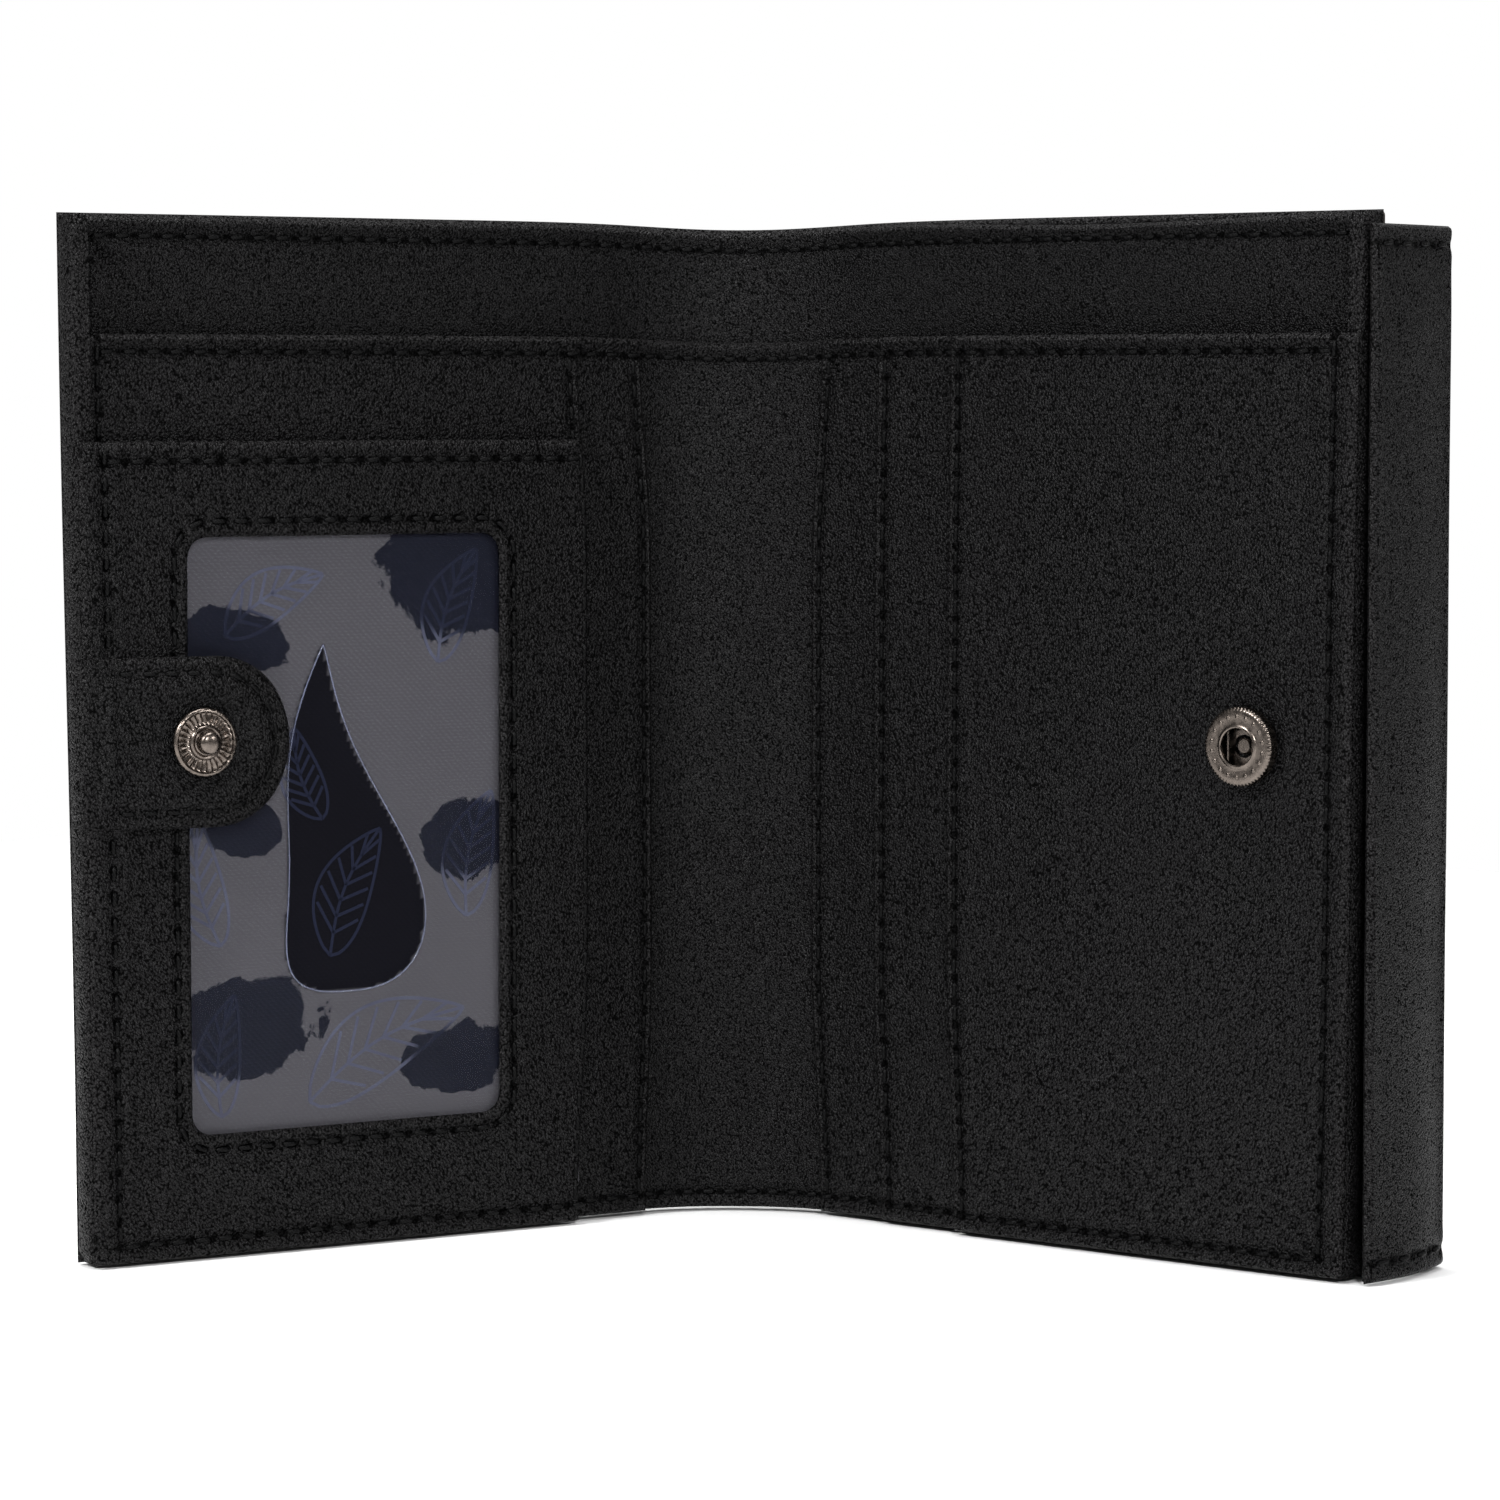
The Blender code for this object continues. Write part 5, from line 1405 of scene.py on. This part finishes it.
class WALLET_OT_coin_purse(bpy.types.Operator):
    """Add the coin purse's walls, linings and gussets."""

    bl_idname = "wallet.coin_purse"
    bl_label = "Coin purse"

    def execute(self, context):
        """Build the walls with their seams, then what is between them."""
        left, right = constant(0.5 * MM), constant(COIN_END)
        heights = (0.0, COIN_TOP)
        run = (2.6 * MM, COIN_END - 2.6 * MM)
        seams = ((True, constant(run[0]), FOOT_SEAM, COIN_TOP - HEM),
                 (True, constant(run[1]), FOOT_SEAM, COIN_TOP - HEM),
                 (False, constant(COIN_TOP - HEM), *run), (False, constant(FOOT_SEAM), *run))

        def outward(x, z, d):
            """Place on the coin purse, with depth counted out of its back."""
            return on_coin(x, z, -d)

        back = sheet("coin_back_leather", outward, left, right, heights, (-1.0 * MM, 0.0), finish("leather"),
                     "pebbled_leather", seams, "lrtb", 0.8 * MM)
        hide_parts("coin_back_wall")
        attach(back, "coin_leaf")
        row = stitches("coin_back_stitches", outward, seams, 0.0, finish("thread"))
        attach(row, "coin_leaf")
        inner = COIN_DEPTH
        front = sheet("coin_front_leather", on_coin, constant(1.5 * MM), right, heights,
                      (inner - 0.8 * MM, inner),
                      finish("leather"), "pebbled_leather", seams, "lrtb", 0.7 * MM)
        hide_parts("coin_front_wall")
        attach(front, "coin_leaf")
        row = stitches("coin_front_stitches", on_coin, seams, inner, finish("thread"))
        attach(row, "coin_leaf")
        cloth = finish("pocketing")
        for name, depth in (("coin_back_lining", (1.2 * MM, 1.6 * MM)),
                            ("coin_front_lining", (inner - 1.6 * MM, inner - 1.2 * MM))):
            made = sheet(f"{name}_cloth", on_coin, constant(2 * MM), constant(COIN_END - 0.6 * MM),
                         (0.6 * MM, COIN_TOP - 1.2 * MM), depth, cloth, "woven_fabric", (), "lrtb", 0.3 * MM)
            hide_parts(name)
            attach(made, "coin_leaf")
        self.add_gusset("coin_gusset_fold_side", 1.9 * MM, 1.0)
        self.add_gusset("coin_gusset_far_side", COIN_END - 0.7 * MM, -1.0)
        self.add_bottom()
        return {"FINISHED"}

    def add_gusset(self, node_name, at, side):
        """A side gusset: leather folded once inwards, so that its section is a soft V."""
        z = np.linspace(0.3 * MM, 121.4 * MM, 120)[:, None]
        d = np.linspace(1.75 * MM, COIN_DEPTH - 1.75 * MM, 31)[None, :]
        t = (d - d.min()) / (d.max() - d.min())
        fold = 2.6 * MM * (1 - np.abs(2 * t - 1) ** 1.4) * (0.85 + 0.15 * np.sin(z / 0.02))
        x = at + side * fold
        thick = 0.25 * MM
        z, d = z + 0 * d, d + 0 * z
        made = shell(f"{node_name}_leather", on_coin(x + thick, z, d), on_coin(x - thick, z, d),
                     finish("lining"), "lining_leather")
        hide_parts(node_name)
        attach(made, "coin_leaf")

    def add_bottom(self):
        """The bottom gusset, a flat strip that lies between the walls."""
        x = np.linspace(2.4 * MM, COIN_END - 1.2 * MM, 120)[:, None]
        d = np.linspace(1.2 * MM, COIN_DEPTH - 1.2 * MM, 21)[None, :]
        t = (d - d.min()) / (d.max() - d.min())
        rise = 0.8 * MM * np.sin(np.pi * t) + 0 * x
        x, d = x + 0 * d, d + 0 * x
        made = shell("coin_bottom_leather", on_coin(x, rise + 0.65 * MM, d), on_coin(x, rise + 0.05 * MM, d),
                     finish("lining"), "lining_leather")
        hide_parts("coin_bottom_gusset")
        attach(made, "coin_leaf")


class WALLET_OT_zip(bpy.types.Operator):
    """Add the zip: tapes, coiled teeth, stops, slider and pull."""

    bl_idname = "wallet.zip"
    bl_label = "Zip"

    def execute(self, context):
        """Build the tapes and teeth, and finish the slider's parts."""
        metal = finish("metal")
        for name in ("zip_top_stop", "zip_bottom_stop", "slider_body", "pull_tab"):
            target = frame["nodes"][name]
            target.data.materials.clear()
            target.data.materials.append(metal)
        for side in ("outer", "inner"):
            low, high = (np.array(c, float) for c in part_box(f"zip_tape_{side}"))
            teeth = [np.array(c, float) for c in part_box(f"zip_teeth_{side}")]
            self.add_tape(side, low, high)
            self.add_coil(side, teeth)
        return {"FINISHED"}

    def add_tape(self, side, low, high):
        """A tape that sags a little between its rows of stitches."""
        x = np.linspace(low[0], high[0], 150)[:, None]
        y = np.linspace(low[1], high[1], 12)[None, :]
        t = (y - low[1]) / (high[1] - low[1])
        rise = 0.05 * MM * np.sin(x / 0.0015) * np.sin(np.pi * t)
        x, y = x + 0 * y, y + 0 * x
        top = np.stack([x, y, high[2] + rise], -1)
        under = np.stack([x, y, low[2] + rise], -1)
        made = shell(f"zip_tape_{side}_cloth", top, under, finish("tape"), "woven_fabric")
        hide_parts(f"zip_tape_{side}")
        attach(made, "coin_leaf")

    def add_coil(self, side, teeth):
        """A nylon coil: a helix along the tape, flattened, one turn for each tooth."""
        low, high = teeth
        pitch = 1.25 * MM
        turns = int((high[0] - low[0]) / pitch)
        angle = np.linspace(0, 2 * np.pi * turns, turns * 14)
        centre = (low + high) / 2
        shift = 0.0 if side == "outer" else np.pi
        x = low[0] + (angle / (2 * np.pi)) * pitch
        y = centre[1] + (high[1] - low[1] - 0.3 * MM) / 2 * np.cos(angle + shift)
        z = centre[2] + (high[2] - low[2] - 0.4 * MM) / 2 * np.sin(angle + shift)
        made = tube(f"zip_coil_{side}", np.stack([x, y, z], -1), 0.26 * MM, finish("thread"), "gunmetal", 6)
        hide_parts(f"zip_teeth_{side}")
        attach(made, "coin_leaf")


class WALLET_OT_stitching(bpy.types.Operator):
    """Add the stitching of the leaves, the bill compartment and the pockets."""

    bl_idname = "wallet.stitching"
    bl_label = "Stitching"

    def execute(self, context):
        """Sew each half; seams that cross the spine are baked in place as they lie."""
        thread = finish("thread")
        rows = (
            ("cover_border_stitches", (COVER_TOP, COVER_FOOT), "cover_leaf", True),
            ("middle_border_stitches", (MIDDLE_TOP, MIDDLE_FOOT), "middle_leaf", True),
            ("cover_lip_stitches", (COVER_LIP,), "cover_leaf", True),
            ("middle_lip_stitches", (MIDDLE_LIP,), "middle_leaf", True),
            ("cover_back_pocket_stitches", (MOUTH_SEAMS["b"],), "cover_leaf", True),
            ("middle_back_pocket_stitches", (MOUTH_SEAMS["c"],), "middle_leaf", True),
            ("cover_front_pocket_stitches", (MOUTH_SEAMS["a"],), "cover_leaf", False),
            ("middle_pocket_stitches", (MOUTH_SEAMS["d"], MOUTH_SEAMS["e"]), "middle_leaf", False),
            ("id_pocket_stitches", (ID_SEAM,), "cover_leaf", False),
            ("middle_edge_stitches", (MIDDLE_RIGHT,), "middle_leaf", False),
        )
        for name, seams, body, bends in rows:
            made = stitches(name, on_wallet, seams, surface, thread)
            if bends:
                across_fold(made)
            else:
                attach(made, body)
        low, high = SNAP_Z - TAB[2] - 0.5 * MM, SNAP_Z + TAB[2] + 0.5 * MM
        line = COVER_LEFT[1]
        below, above = (True, line, COVER_LEFT[2], low), (True, line, high, COVER_LEFT[3])
        edge = stitches("cover_edge_stitches", on_wallet, (below, above), surface, thread)
        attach(edge, "cover_leaf")
        for body, seams in (("cover_leaf", (COVER_LEFT, COVER_TOP, COVER_FOOT)),
                            ("middle_leaf", (MIDDLE_RIGHT, MIDDLE_TOP, MIDDLE_FOOT))):
            outside = stitches(f"{body}_outside_stitches", on_wallet, seams, 0.0, thread, facing=-1.0)
            across_fold(outside)
        return {"FINISHED"}


OPERATORS = (
    WALLET_OT_stage, WALLET_OT_outer_leather, WALLET_OT_bill_compartment, WALLET_OT_card_pockets,
    WALLET_OT_id_window, WALLET_OT_closing_tab, WALLET_OT_snap, WALLET_OT_coin_strip, WALLET_OT_coin_purse,
    WALLET_OT_zip, WALLET_OT_stitching,
)


class WALLET_PT_panel(bpy.types.Panel):
    """The wallet's buttons and settings."""

    bl_idname = "WALLET_PT_panel"
    bl_label = "Trifold Wallet"
    bl_space_type = "VIEW_3D"
    bl_region_type = "UI"
    bl_category = "Wallet"

    def draw(self, context):
        """List the settings, then one button for each operator."""
        for key in WalletSettings.__annotations__:
            self.layout.prop(context.scene.wallet, key)
        for operator in OPERATORS:
            self.layout.operator(operator.bl_idname)


def register():
    """Register the classes and the settings."""
    for cls in (WalletSettings, *OPERATORS, WALLET_PT_panel):
        bpy.utils.register_class(cls)
    bpy.types.Scene.wallet = PointerProperty(type=WalletSettings)


def unregister():
    """Take the classes and the settings away again."""
    del bpy.types.Scene.wallet
    for cls in reversed((WalletSettings, *OPERATORS, WALLET_PT_panel)):
        bpy.utils.unregister_class(cls)


def main():
    """Build everything in order."""
    register()
    for operator in OPERATORS:
        group, name = operator.bl_idname.split(".")
        getattr(getattr(bpy.ops, group), name)()


if __name__ == "__main__":
    main()
